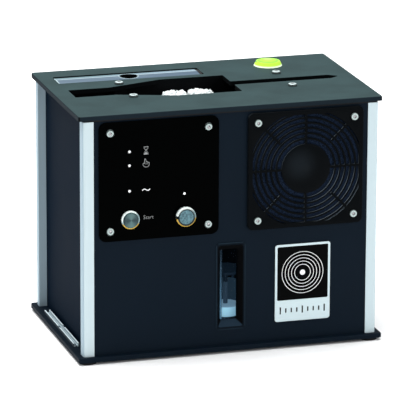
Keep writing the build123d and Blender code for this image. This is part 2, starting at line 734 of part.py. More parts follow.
def splash_wall(side):
    """Upper chamber wall with the fan's duct, a louvred opening and two blocks for the top screws."""
    outer = SLOT_Y + side * CHAMBER_OUT
    inner = SLOT_Y + side * CHAMBER_IN
    block_mid = inner - side * BLOCK_D / 2
    reach = FAN_INNER - side * outer - PLAY
    open_r = FAN_BORE_R - DUCT_WALL
    with BuildPart() as wall:
        with BuildSketch(at_y(outer)):
            with Locations((0, (TROUGH_TOP + TOP_UNDER) / 2)):
                Rectangle(2 * CHAMBER_HALF, TOP_UNDER - TROUGH_TOP)
        extrude(amount=side * CHAMBER_WALL)
        with BuildSketch(at_y(outer)):
            with Locations((FAN_X, FAN_Z)):
                Circle(FAN_BORE_R)
        extrude(amount=-side * reach)
        with BuildSketch(at_y(inner)):
            with Locations((FAN_X, FAN_Z)):
                Circle(open_r)
        extrude(amount=-side * (reach + CHAMBER_WALL), mode=Mode.SUBTRACT)
        with BuildSketch(at_y(outer)):
            with Locations((FAN_X, FAN_Z)):
                with GridLocations(0, 2 * open_r / (LOUVRES + 1), 1, LOUVRES):
                    Rectangle(2 * open_r, LOUVRE_T)
                Circle(open_r + DUCT_WALL / 2, mode=Mode.INTERSECT)
        extrude(amount=side * CHAMBER_WALL)
        with BuildSketch(Plane.XY.offset(TOP_UNDER)):
            with Locations((-TOP_SCREW_X, block_mid), (TOP_SCREW_X, block_mid)):
                Rectangle(BLOCK_W, BLOCK_D)
        extrude(amount=-BLOCK_H)
        with BuildSketch(Plane.XY.offset(TOP_UNDER)):
            with Locations((0, SLOT_Y + side * TOP_SCREW_Y)):
                with GridLocations(2 * TOP_SCREW_X, 0, 2, 1):
                    Circle(TOP_SCREW_R + SCREW_GAP)
        extrude(amount=-TOP_SCREW_L, mode=Mode.SUBTRACT)
    return wall


save(splash_wall(-1), "front_splash_wall")
save(splash_wall(1), "rear_splash_wall")

# ---------------------------------------------------------------- rollers and their gears

rear_left_phase = 0.0
rear_right_phase = mesh_phase(rear_left_phase, ROLLER_TEETH, ROLLER_TEETH, 0.0)
link_direction = atan2(SLOT_Y - ROLLER_Y["rear"], LINK_X - ROLLER_X)
link_phase = mesh_phase(rear_left_phase, ROLLER_TEETH, LINK_TEETH, link_direction)
back_direction = atan2(ROLLER_Y["front"] - SLOT_Y, ROLLER_X - LINK_X)
front_left_phase = mesh_phase(link_phase, LINK_TEETH, ROLLER_TEETH, back_direction)
front_right_phase = mesh_phase(front_left_phase, ROLLER_TEETH, ROLLER_TEETH, 0.0)
motor_phase = mesh_phase(rear_left_phase, ROLLER_TEETH, MOTOR_TEETH, pi / 2)
ROLLER_PHASE = {
    ("rear", "left"): rear_left_phase,
    ("rear", "right"): rear_right_phase,
    ("front", "left"): front_left_phase,
    ("front", "right"): front_right_phase,
}


def gear_on_shaft(teeth, phase, centre, shaft_r, shaft_top):
    """Spur gear with a thrust hub under it, on its upright shaft."""
    with BuildPart() as gear:
        with BuildSketch(Plane.XY.offset(GEAR_BOTTOM)):
            Polygon(*gear_points(teeth, phase, centre), align=None)
        extrude(amount=GEAR_T)
        with BuildSketch(Plane.XY.offset(BRACKET_BOTTOM + BRACKET_T + PLAY)):
            with Locations(centre):
                Circle(shaft_r + GEAR_HUB_R - SPINDLE_R)
        extrude(amount=GEAR_BOTTOM - BRACKET_BOTTOM - BRACKET_T - PLAY)
        with BuildSketch(Plane.XY.offset(SHAFT_BOTTOM)):
            with Locations(centre):
                Circle(shaft_r)
        extrude(amount=shaft_top - SHAFT_BOTTOM)
    return gear


for row, y in ROLLER_Y.items():
    for column, x in ROLLER_XS.items():
        phase = ROLLER_PHASE[(row, column)]
        spindle = gear_on_shaft(ROLLER_TEETH, phase, (x, y), SPINDLE_R, ROLLER_TOP - ROLLER_CAP)
        save(spindle, f"{row}_{column}_spindle")
        with BuildPart() as sleeve:
            with BuildSketch(Plane.XY.offset(ROLLER_BOTTOM)):
                with Locations((x, y)):
                    Circle(ROLLER_R)
            extrude(amount=ROLLER_TOP - ROLLER_BOTTOM)
            with BuildSketch(Plane.XY.offset(ROLLER_BOTTOM)):
                with Locations((x, y)):
                    Circle(SPINDLE_R)
            extrude(amount=ROLLER_TOP - ROLLER_CAP - ROLLER_BOTTOM, mode=Mode.SUBTRACT)
        save(sleeve, f"{row}_{column}_sleeve")

link_gear = gear_on_shaft(LINK_TEETH, link_phase, (LINK_X, SLOT_Y), SMALL_SHAFT_R, GEAR_BOTTOM + GEAR_T)
save(link_gear, "link_gear")

motor_shaft_top = SHELF_BOTTOM + 2 * BRACKET_T
motor_gear = gear_on_shaft(MOTOR_TEETH, motor_phase, (ROLLER_X, MOTOR_Y), SMALL_SHAFT_R, motor_shaft_top)
save(motor_gear, "motor_gear")

# Bent bracket: a floor under the gears, an upright behind the motor gear and a shelf for the motor.
bracket_left = LINK_X - MODULE * LINK_TEETH / 2 - BRACKET_MARGIN
bracket_right = ROLLER_XS["right"] + PITCH_R + BRACKET_MARGIN
bracket_front = ROLLER_Y["front"] - PITCH_R - BRACKET_MARGIN
bracket_rear = MOTOR_Y + MOTOR_TIP_R + BRACKET_MARGIN / 2 + BRACKET_T
shelf_front = MOTOR_Y - MOTOR_R - BRACKET_MARGIN / 2
leg_span_x = bracket_right - bracket_left - 4 * BRACKET_LEG_R
leg_span_y = bracket_rear - bracket_front - 4 * BRACKET_LEG_R
with BuildPart() as gear_bracket:
    with BuildSketch(Plane.YZ.offset(bracket_left)):
        with BuildLine():
            FilletPolyline(
                (bracket_front, BRACKET_BOTTOM),
                (bracket_rear, BRACKET_BOTTOM),
                (bracket_rear, SHELF_BOTTOM + BRACKET_T),
                (shelf_front, SHELF_BOTTOM + BRACKET_T),
                (shelf_front, SHELF_BOTTOM),
                (bracket_rear - BRACKET_T, SHELF_BOTTOM),
                (bracket_rear - BRACKET_T, BRACKET_BOTTOM + BRACKET_T),
                (bracket_front, BRACKET_BOTTOM + BRACKET_T),
                radius=(0, BRACKET_T, BRACKET_T, 0, 0, 0, 0, 0),
                close=True,
            )
        make_face()
    extrude(amount=bracket_right - bracket_left)
    with BuildSketch(Plane.XY.offset(BRACKET_BOTTOM)):
        with Locations(*floor_bosses()):
            Circle(SPINDLE_R + RUN_GAP)
        with Locations((LINK_X, SLOT_Y), (ROLLER_X, MOTOR_Y)):
            Circle(SMALL_SHAFT_R + RUN_GAP)
    extrude(amount=SHELF_BOTTOM + BRACKET_T - BRACKET_BOTTOM, mode=Mode.SUBTRACT)
    with BuildSketch(Plane.XY.offset(BASE_TOP)):
        with Locations(((bracket_left + bracket_right) / 2, (bracket_front + bracket_rear) / 2)):
            with GridLocations(leg_span_x, leg_span_y, 2, 2):
                Circle(BRACKET_LEG_R)
    extrude(amount=BRACKET_BOTTOM - BASE_TOP)
save(gear_bracket, "gear_bracket")

# Gear motor standing on the shelf, its output bore over the motor gear's shaft.
with BuildPart() as roller_motor:
    with BuildSketch(Plane.XY.offset(SHELF_BOTTOM + BRACKET_T)):
        with Locations((ROLLER_X, MOTOR_Y)):
            Circle(MOTOR_R)
    extrude(amount=MOTOR_H)
    fillet(roller_motor.faces().sort_by(Axis.Z)[-1].edges(), MOTOR_ROUND)
    with BuildSketch(Plane.XY.offset(SHELF_BOTTOM + BRACKET_T + MOTOR_H)):
        with Locations((ROLLER_X, MOTOR_Y)):
            Circle(MOTOR_NECK_R)
    extrude(amount=BRACKET_T)
    with BuildSketch(Plane.XY.offset(SHELF_BOTTOM + BRACKET_T)):
        with Locations((ROLLER_X, MOTOR_Y)):
            Circle(SMALL_SHAFT_R + RUN_GAP)
    extrude(amount=2 * BRACKET_T, mode=Mode.SUBTRACT)
save(roller_motor, "roller_motor")

# ---------------------------------------------------------------- record drive


def edge_wheel(x, shaft_end):
    """Grooved wheel that carries the record's edge, with its shaft to the back."""
    with BuildPart() as wheel:
        with BuildSketch(Plane((x, SLOT_Y, WHEEL_Z), x_dir=(1, 0, 0), z_dir=(0, 0, 1))):
            with BuildLine():
                Polyline(
                    (0, -WHEEL_T / 2),
                    (WHEEL_R, -WHEEL_T / 2),
                    (WHEEL_R, -WHEEL_T / 6),
                    (WHEEL_R - WHEEL_GROOVE, 0),
                    (WHEEL_R, WHEEL_T / 6),
                    (WHEEL_R, WHEEL_T / 2),
                    (SMALL_SHAFT_R, WHEEL_T / 2),
                    (SMALL_SHAFT_R, shaft_end - SLOT_Y),
                    (0, shaft_end - SLOT_Y),
                    close=True,
                )
            make_face()
        revolve(axis=Axis((x, SLOT_Y, WHEEL_Z), (0, 1, 0)))
    return wheel


save(edge_wheel(RECORD_X + WHEEL_SPAN, CHAMBER_REAR + DRIVE_SOCKET - PLAY), "drive_wheel")
save(edge_wheel(RECORD_X - WHEEL_SPAN, CHAMBER_REAR), "idler_wheel")

with BuildPart() as record_motor:
    with BuildSketch(at_y(CHAMBER_REAR)):
        with Locations((RECORD_X + WHEEL_SPAN, WHEEL_Z)):
            Circle(DRIVE_FLANGE_R)
    extrude(amount=-DRIVE_FLANGE_T)
    with BuildSketch(at_y(CHAMBER_REAR + DRIVE_FLANGE_T)):
        with Locations((RECORD_X + WHEEL_SPAN, WHEEL_Z)):
            Circle(DRIVE_MOTOR_R)
    extrude(amount=-DRIVE_MOTOR_L)
    fillet(record_motor.faces().sort_by(Axis.Y)[-1].edges(), MOTOR_ROUND)
    with BuildSketch(at_y(CHAMBER_REAR)):
        with Locations((RECORD_X + WHEEL_SPAN, WHEEL_Z)):
            Circle(SMALL_SHAFT_R + RUN_GAP)
    extrude(amount=-DRIVE_SOCKET, mode=Mode.SUBTRACT)
save(record_motor, "record_motor")

with BuildPart() as transducer:
    with BuildSketch(Plane.XY.offset(TROUGH_BOTTOM)):
        with Locations((TRANSDUCER_X, SLOT_Y)):
            Circle(TRANSDUCER_R)
    extrude(amount=-TRANSDUCER_H)
    with BuildSketch(Plane.XY.offset(TROUGH_BOTTOM - TRANSDUCER_H)):
        with Locations((TRANSDUCER_X, SLOT_Y)):
            Circle(TRANSDUCER_STEM_R)
    extrude(amount=-TRANSDUCER_STEM_H)
save(transducer, "ultrasonic_transducer")

# ---------------------------------------------------------------- fans

ring_count = int((MOUTH_R - HUB_DISC_R) / RIB_STEP)
with BuildSketch() as mouth:
    Circle(MOUTH_R)
    Rectangle(MOUTH_W, MOUTH_W, mode=Mode.INTERSECT)
with BuildSketch() as ribs:
    for ring in range(ring_count, 0, -1):
        Circle(HUB_DISC_R + ring * RIB_STEP + RIB_W / 2)
        Circle(HUB_DISC_R + ring * RIB_STEP - RIB_W / 2, mode=Mode.SUBTRACT)
    Circle(HUB_DISC_R)
    Rectangle(2 * MOUTH_R, SPOKE_W)
    Rectangle(SPOKE_W, 2 * MOUTH_R)
    with PolarLocations((SHORT_SPOKE_R + MOUTH_R) / 2, 4, start_angle=45):
        Rectangle(MOUTH_R - SHORT_SPOKE_R, SPOKE_W)
    add(mouth.sketch, mode=Mode.INTERSECT)


hub_sphere_r = (HUB_DISC_R**2 + HUB_RISE**2) / (2 * HUB_RISE)
with BuildPart() as hub_dome:
    with BuildSketch():
        Circle(HUB_DISC_R)
    extrude(amount=HUB_RISE)
    with Locations((0, 0, HUB_RISE - hub_sphere_r)):
        Sphere(hub_sphere_r, mode=Mode.INTERSECT)


def fan_grille(side):
    """Square guard with ring ribs, spokes and a domed hub disc across its opening."""
    with BuildPart() as grille:
        with BuildSketch(fan_plane(side, FACE)):
            RectangleRounded(GRILLE_W, GRILLE_W, GRILLE_CORNER_R)
            add(mouth.sketch, mode=Mode.SUBTRACT)
            with GridLocations(GRILLE_PITCH, GRILLE_PITCH, 2, 2):
                Circle(SCREW_R + SCREW_GAP, mode=Mode.SUBTRACT)
        extrude(amount=GRILLE_T)
        fillet(grille.faces().sort_by(Axis((0, 0, 0), (0, side, 0)))[-1].outer_wire().edges(), GRILLE_ROUND)
        with BuildSketch(fan_plane(side, GRILLE_FACE - RIB_T)):
            add(ribs.sketch)
        extrude(amount=RIB_T)
        with Locations(fan_plane(side, GRILLE_FACE).location):
            add(hub_dome.part)
    return grille


def fan_frame(side):
    """Square fan housing with its round bore and the struts that carry the rotor's bearing."""
    with BuildPart() as housing:
        with BuildSketch(fan_plane(side, FAN_INNER)):
            RectangleRounded(FAN_W, FAN_W, FAN_CORNER_R)
            Circle(FAN_BORE_R, mode=Mode.SUBTRACT)
            with GridLocations(GRILLE_PITCH, GRILLE_PITCH, 2, 2):
                Circle(SCREW_R + SCREW_GAP, mode=Mode.SUBTRACT)
        extrude(amount=FAN_T)
        with BuildSketch(fan_plane(side, FAN_INNER)):
            Rectangle(2 * FAN_BORE_R + DUCT_WALL, FAN_STRUT_W)
            Rectangle(FAN_STRUT_W, 2 * FAN_BORE_R + DUCT_WALL)
            Circle(FAN_MOUNT_R)
            Circle(ROTOR_PIN_R + RUN_GAP, mode=Mode.SUBTRACT)
        extrude(amount=FAN_MOUNT_T)
    return housing


def blade_plane(radius, height):
    """Plane across a blade at this radius, its x along the rotor's turn."""
    return Plane(origin=(radius, 0, height), x_dir=(0, 1, 0), z_dir=(1, 0, 0))


rotor_bottom = FAN_MOUNT_T + ROTOR_END_GAP
rotor_h = FAN_T - rotor_bottom - ROTOR_FRONT_GAP
blade_mid = rotor_bottom + rotor_h / 2
tip_r = FAN_BORE_R - ROTOR_TIP_GAP
with BuildPart() as blade:
    with BuildSketch(blade_plane(ROTOR_HUB_R - BLADE_T, blade_mid)):
        Rectangle(BLADE_ROOT_CHORD, BLADE_T, rotation=BLADE_ROOT_PITCH)
    with BuildSketch(blade_plane(tip_r, blade_mid)):
        Rectangle(BLADE_TIP_CHORD, BLADE_T, rotation=BLADE_TIP_PITCH)
    loft()
with BuildPart() as rotor_shape:
    with BuildSketch(Plane.XY.offset(rotor_bottom)):
        Circle(ROTOR_HUB_R)
    extrude(amount=rotor_h)
    with PolarLocations(0, BLADES):
        add(blade.part)
    with BuildSketch():
        Circle(tip_r)
    extrude(amount=FAN_T, mode=Mode.INTERSECT)
    with BuildSketch():
        Circle(ROTOR_PIN_R)
    extrude(amount=rotor_bottom)

for side, name in ((-1, "front"), (1, "rear")):
    save(fan_grille(side), f"{name}_fan_grille")
    save(fan_frame(side), f"{name}_fan_frame")
    with BuildPart() as rotor:
        with Locations(fan_plane(side, FAN_INNER).location):
            add(rotor_shape.part)
    save(rotor, f"{name}_fan_rotor")

# Foam mats held between the grilles' ribs and the panels.
with BuildPart() as filter_mats:
    for side in (-1, 1):
        with BuildSketch(fan_plane(side, FACE)):
            add(mouth.sketch)
            offset(amount=-MAT_GAP)
        extrude(amount=GRILLE_T - RIB_T - PLAY)
save(filter_mats, "filter_mats")

# ---------------------------------------------------------------- control plate and controls

board_front = -BOARD_Y
with BuildPart() as control_plate:
    with BuildSketch(at_y(-FACE)):
        with Locations((CONTROL_X, CONTROL_Z)):
            RectangleRounded(CONTROL_W, CONTROL_H, CONTROL_CORNER_R)
            with GridLocations(CONTROL_PITCH, CONTROL_PITCH, 2, 2):
                Circle(SCREW_R + SCREW_GAP, mode=Mode.SUBTRACT)
        with Locations((BUTTON_X, BUTTON_Z), (SELECTOR_X, SELECTOR_Z)):
            Circle(SWITCH_BODY_R, mode=Mode.SUBTRACT)
        with Locations(*LAMP_PLACES):
            Circle(LAMP_R, mode=Mode.SUBTRACT)
    extrude(amount=CONTROL_T)
    chamfer(control_plate.faces().sort_by(Axis.Y)[0].outer_wire().edges(), EDGE_BREAK / 2)
save(control_plate, "control_plate")

with BuildPart() as status_lamps:
    for x, z in LAMP_PLACES:
        with BuildSketch(at_y(-CONTROL_FACE + LAMP_L)):
            with Locations((x, z)):
                Circle(LAMP_R)
        extrude(amount=LAMP_L + LAMP_PROUD)
    fillet(status_lamps.faces().group_by(Axis.Y)[0].edges(), LAMP_PROUD)
save(status_lamps, "status_lamps")

panel_screw = screw_shape(SCREW_R, SCREW_L, SCREW_HEAD_R, SCREW_HEAD_H, SCREW_SOCKET)
with BuildPart() as panel_screws:
    with Locations(Location((CONTROL_X, -CONTROL_FACE, CONTROL_Z), (90, 0, 0))):
        with GridLocations(CONTROL_PITCH, CONTROL_PITCH, 2, 2):
            add(panel_screw)
    for side in (-1, 1):
        with Locations(fan_plane(side, GRILLE_FACE).location):
            with GridLocations(GRILLE_PITCH, GRILLE_PITCH, 2, 2):
                add(panel_screw)
save(panel_screws, "panel_screws")


def switch_body(x, z, ring_r, ring_h, bore_r, bore_depth):
    """Panel switch: front ring, neck through the plate, nut behind it and body down to the board."""
    with BuildPart() as switch:
        with BuildSketch(at_y(-CONTROL_FACE)):
            with Locations((x, z)):
                Circle(ring_r)
        extrude(amount=ring_h)
        chamfer(switch.faces().sort_by(Axis.Y)[0].edges(), EDGE_BREAK)
        with BuildSketch(at_y(board_front)):
            with Locations((x, z)):
                Circle(SWITCH_BODY_R)
        extrude(amount=CONTROL_FACE + board_front)
        with BuildSketch(at_y(-FACE)):
            with Locations((x, z)):
                RegularPolygon(SWITCH_NUT / 2, 6)
        extrude(amount=-SWITCH_NUT_T)
        with BuildSketch(at_y(-CONTROL_FACE - ring_h)):
            with Locations((x, z)):
                Circle(bore_r)
        extrude(amount=-bore_depth, mode=Mode.SUBTRACT)
    return switch


button_bore = BUTTON_L - BUTTON_PROUD + BUTTON_TRAVEL + PLAY
start_switch = switch_body(BUTTON_X, BUTTON_Z, BUTTON_RING_R, BUTTON_RING_H, BUTTON_R + RUN_GAP, button_bore)
save(start_switch, "start_switch")

with BuildPart() as start_button:
    with BuildSketch(at_y(-CONTROL_FACE - BUTTON_RING_H - BUTTON_PROUD)):
        with Locations((BUTTON_X, BUTTON_Z)):
            Circle(BUTTON_R)
    extrude(amount=-BUTTON_L)
    fillet(start_button.faces().sort_by(Axis.Y)[0].edges(), EDGE_BREAK)
save(start_button, "start_button")

shaft_bore = SELECTOR_SHAFT_L + PLAY
selector_switch = switch_body(
    SELECTOR_X, SELECTOR_Z, SELECTOR_RING_R, SELECTOR_RING_H, SELECTOR_SHAFT_R + RUN_GAP, shaft_bore
)
save(selector_switch, "selector_switch")

# Turned knob on its ring: a bevelled rim, a groove round the face, and a pointer notch at nine o'clock.
knob_face = CONTROL_FACE + SELECTOR_RING_H + PLAY + SELECTOR_KNOB_H
rim_w = SELECTOR_KNOB_R - SELECTOR_FACE_R
with BuildPart() as selector_knob:
    with BuildSketch(at_y(-knob_face)):
        with Locations((SELECTOR_X, SELECTOR_Z)):
            Circle(SELECTOR_KNOB_R)
    extrude(amount=-SELECTOR_KNOB_H)
    chamfer(selector_knob.faces().sort_by(Axis.Y)[0].edges(), SELECTOR_BEVEL)
    with BuildSketch(at_y(-knob_face)):
        with Locations((SELECTOR_X, SELECTOR_Z)):
            Circle(SELECTOR_FACE_R + SELECTOR_GROOVE_W)
            Circle(SELECTOR_FACE_R, mode=Mode.SUBTRACT)
    extrude(amount=-SELECTOR_GROOVE_H, mode=Mode.SUBTRACT)
    with BuildSketch(at_y(-knob_face)):
        with Locations((SELECTOR_X - SELECTOR_FACE_R - rim_w, SELECTOR_Z)):
            Rectangle(2 * rim_w, SELECTOR_NOTCH_W)
    extrude(amount=-SELECTOR_NOTCH_H, mode=Mode.SUBTRACT)
    with BuildSketch(at_y(-knob_face + SELECTOR_KNOB_H)):
        with Locations((SELECTOR_X, SELECTOR_Z)):
            Circle(SELECTOR_SHAFT_R)
    extrude(amount=-SELECTOR_SHAFT_L)
save(selector_knob, "selector_knob")

# Printed board carried by the two switches, with its larger parts on the back.
with BuildPart() as control_board:
    with BuildSketch(at_y(board_front)):
        with Locations((CONTROL_X, CONTROL_Z)):
            Rectangle(BOARD_W, BOARD_H)
    extrude(amount=-BOARD_T)
    with BuildSketch(at_y(board_front + BOARD_T)):
        with Locations((CONTROL_X, CONTROL_Z)):
            with Locations(CHIP_PLACE):
                Rectangle(CHIP_W, CHIP_W)
            with Locations(RELAY_PLACE):
                Rectangle(RELAY_W, RELAY_H)
            with Locations(CAPACITOR_PLACE):
                with GridLocations(CAPACITOR_STEP, 0, 3, 1):
                    Circle(CAPACITOR_R)
    extrude(amount=-BOARD_PARTS_T)
save(control_board, "control_board")

# ---------------------------------------------------------------- window, tank, float

sight_back_w = SIGHT_W + 2 * WINDOW_WALL
sight_back_h = SIGHT_H + 2 * WINDOW_WALL
with BuildPart() as window_bezel:
    with BuildSketch(at_y(-FACE)):
        with Locations((WINDOW_X, WINDOW_Z)):
            RectangleRounded(WINDOW_W, WINDOW_H, WINDOW_CORNER_R + WINDOW_LIP)
    extrude(amount=WINDOW_LIP_T)
    with BuildSketch(at_y(-FACE)):
        with Locations((WINDOW_X, WINDOW_Z)):
            RectangleRounded(collar_w, collar_h, WINDOW_CORNER_R)
    with BuildSketch(at_y(-BEZEL_BACK)):
        with Locations((WINDOW_X, WINDOW_Z)):
            RectangleRounded(sight_back_w, sight_back_h, SIGHT_CORNER_R + WINDOW_WALL)
    loft()
    with BuildSketch(at_y(-FACE - WINDOW_LIP_T)):
        with Locations((WINDOW_X, WINDOW_Z)):
            RectangleRounded(collar_w - WINDOW_WALL, collar_h - WINDOW_WALL, WINDOW_CORNER_R)
    with BuildSketch(at_y(-BEZEL_BACK)):
        with Locations((WINDOW_X, WINDOW_Z)):
            RectangleRounded(SIGHT_W, SIGHT_H, SIGHT_CORNER_R)
    loft(mode=Mode.SUBTRACT)
save(window_bezel, "window_bezel")

with BuildPart() as window_pane:
    with BuildSketch(at_y(-TANK_FRONT)):
        with Locations((WINDOW_X, WINDOW_Z)):
            RectangleRounded(SIGHT_W + 2 * PANE_MARGIN, SIGHT_H + 2 * PANE_MARGIN, SIGHT_CORNER_R)
    extrude(amount=PANE_T)
save(window_pane, "window_pane")

with BuildPart() as water_tank:
    with BuildSketch(Plane.XY.offset(BASE_TOP)):
        with Locations((0, -TANK_MID)):
            RectangleRounded(2 * TANK_HALF, TANK_FRONT - TANK_REAR, TANK_CORNER_R)
    extrude(amount=TANK_TOP - BASE_TOP)
    with BuildSketch(Plane.XY.offset(BASE_TOP + TANK_WALL)):
        with Locations((0, -TANK_MID)):
            Rectangle(2 * (TANK_HALF - TANK_WALL), TANK_FRONT - TANK_REAR - 2 * TANK_WALL)
    extrude(amount=TANK_TOP - BASE_TOP - 2 * TANK_WALL, mode=Mode.SUBTRACT)
    with BuildSketch(at_y(-TANK_FRONT)):
        with Locations((WINDOW_X, WINDOW_Z)):
            RectangleRounded(SIGHT_W, SIGHT_H, SIGHT_CORNER_R)
    extrude(amount=-TANK_WALL, mode=Mode.SUBTRACT)
    with BuildSketch(Plane.XY.offset(TANK_TOP)):
        with Locations((FILLER_X, -TANK_MID)):
            Circle(FILLER_R)
    extrude(amount=-TANK_WALL, mode=Mode.SUBTRACT)
save(water_tank, "water_tank")

cage_bottom = BASE_TOP + TANK_WALL
with BuildPart() as float_cage:
    with BuildSketch(Plane.XY.offset(cage_bottom)):
        with Locations((FLOAT_X, FLOAT_Y)):
            Circle(CAGE_R)
    extrude(amount=CAGE_PLATE_T)
    with BuildSketch(Plane.XY.offset(cage_bottom)):
        with Locations((FLOAT_X, FLOAT_Y)):
            Circle(CAGE_ROD_R)
            with PolarLocations(CAGE_R - CAGE_LEG_INSET - CAGE_LEG_R, 4, start_angle=45):
                Circle(CAGE_LEG_R)
    extrude(amount=FLOAT_TOP - cage_bottom)
    with BuildSketch(Plane.XY.offset(cage_bottom)):
        with Locations((FLOAT_X, FLOAT_Y)):
            Circle(CAGE_COLLAR_R)
    extrude(amount=FLOAT_Z - PLAY - cage_bottom)
    with BuildSketch(Plane.XY.offset(FLOAT_TOP)):
        with Locations((FLOAT_X, FLOAT_Y)):
            Circle(CAGE_R)
    extrude(amount=CAGE_PLATE_T)
save(float_cage, "float_cage")

with BuildPart() as level_float:
    with BuildSketch(Plane.XY.offset(FLOAT_Z)):
        with Locations((FLOAT_X, FLOAT_Y)):
            Circle(FLOAT_R)
    extrude(amount=FLOAT_H)
    fillet(level_float.edges().filter_by(GeomType.CIRCLE), FLOAT_ROUND)
    with BuildSketch(Plane.XY.offset(FLOAT_Z)):
        with Locations((FLOAT_X, FLOAT_Y)):
            Circle(CAGE_ROD_R + RUN_GAP)
    extrude(amount=FLOAT_H, mode=Mode.SUBTRACT)
save(level_float, "level_float")

# ---------------------------------------------------------------- top fittings

# Clear lid with a low lengthwise ridge, dropped into the top plate.
lid_front = LID_Y - LID_D / 2 + PLAY
lid_rear = LID_Y + LID_D / 2 - PLAY
with BuildPart() as filter_lid:
    with BuildSketch(Plane.YZ.offset(LID_X - LID_W / 2 + PLAY)):
        with BuildLine():
            Polyline(
                (lid_front, LID_BOTTOM),
                (lid_rear, LID_BOTTOM),
                (lid_rear, LID_BOTTOM + LID_EDGE_T),
                (LID_Y, LID_BOTTOM + LID_T),
                (lid_front, LID_BOTTOM + LID_EDGE_T),
                close=True,
            )
        make_face()
    extrude(amount=LID_W - 2 * PLAY)
    with BuildSketch(Plane.XY.offset(LID_BOTTOM)):
        with Locations((LID_X, LID_Y)):
            RectangleRounded(LID_W - 2 * PLAY, LID_D - 2 * PLAY, LID_CORNER_R)
            Circle(FINGER_R, mode=Mode.SUBTRACT)
    extrude(amount=LID_T, mode=Mode.INTERSECT)
save(filter_lid, "filter_lid")

# Basket hung under the lid's opening by its rim.
with BuildPart() as filter_basket:
    with BuildSketch(Plane.XY.offset(TOP_UNDER)):
        with Locations((LID_X, LID_Y)):
            Rectangle(LID_W + 2 * BASKET_END_RIM, LID_D + 2 * BASKET_RIM)
    extrude(amount=-BASKET_RIM_T)
    with BuildSketch(Plane.XY.offset(TOP_UNDER)):
        with Locations((LID_X, LID_Y)):
            Rectangle(LID_W - 2 * BASKET_MARGIN, LID_D - 2 * BASKET_MARGIN)
    extrude(amount=-BASKET_DEPTH)
    with BuildSketch(Plane.XY.offset(TOP_UNDER)):
        with Locations((LID_X, LID_Y)):
            Rectangle(LID_W - 2 * (BASKET_MARGIN + BASKET_WALL), LID_D - 2 * (BASKET_MARGIN + BASKET_WALL))
    extrude(amount=-(BASKET_DEPTH - BASKET_WALL), mode=Mode.SUBTRACT)
save(filter_basket, "filter_basket")

with BuildPart() as level_body:
    with BuildSketch(Plane.XZ):
        with BuildLine():
            Polyline(
                (0, CASE_H),
                (LEVEL_R, CASE_H),
                (LEVEL_TOP_R, CASE_H + LEVEL_H),
                (LEVEL_TOP_R - LEVEL_WALL, CASE_H + LEVEL_H),
                (LEVEL_TOP_R - LEVEL_WALL, CASE_H + LEVEL_FLOOR),
                (0, CASE_H + LEVEL_FLOOR),
                close=True,
            )
        make_face()
    revolve(axis=Axis.Z)
with BuildPart() as spirit_level_body:
    with Locations((LEVEL_X, LEVEL_Y)):
        add(level_body.part)
save(spirit_level_body, "spirit_level_body")

vial_r = LEVEL_TOP_R - LEVEL_WALL
dome_r = (vial_r**2 + VIAL_RISE**2) / (2 * VIAL_RISE)
dome_centre = CASE_H + LEVEL_H + VIAL_RISE - dome_r
dome_start = degrees(acos(vial_r / dome_r))
with BuildPart() as vial_shape:
    with BuildSketch(Plane.XZ):
        with BuildLine():
            Line((0, CASE_H + LEVEL_FLOOR), (vial_r, CASE_H + LEVEL_FLOOR))
            Line((vial_r, CASE_H + LEVEL_FLOOR), (vial_r, CASE_H + LEVEL_H))
            CenterArc((0, dome_centre), dome_r, dome_start, 90 - dome_start)
            Line((0, dome_centre + dome_r), (0, CASE_H + LEVEL_FLOOR))
        make_face()
    revolve(axis=Axis.Z)
with BuildPart() as spirit_level_vial:
    with Locations((LEVEL_X, LEVEL_Y)):
        add(vial_shape.part)
save(spirit_level_vial, "spirit_level_vial")

with BuildPart() as nameplate:
    with BuildSketch(at_y(-FACE)):
        with Locations((PLATE_X, PLATE_Z)):
            RectangleRounded(NAMEPLATE_W, NAMEPLATE_H, NAMEPLATE_R)
    extrude(amount=NAMEPLATE_T)
    chamfer(nameplate.faces().sort_by(Axis.Y)[0].edges(), EDGE_BREAK / 2)
    field_h = NAMEPLATE_H - NAMEPLATE_FIELD_LOW - NAMEPLATE_BORDER
    with BuildSketch(at_y(-FACE - NAMEPLATE_T)):
        with Locations((PLATE_X, PLATE_Z + (NAMEPLATE_FIELD_LOW - NAMEPLATE_BORDER) / 2)):
            RectangleRounded(NAMEPLATE_W - 2 * NAMEPLATE_BORDER, field_h, NAMEPLATE_R / 2)
    extrude(amount=-NAMEPLATE_SINK, mode=Mode.SUBTRACT)
save(nameplate, "nameplate")

# ---------------------------------------------------------------- rear fittings and pump

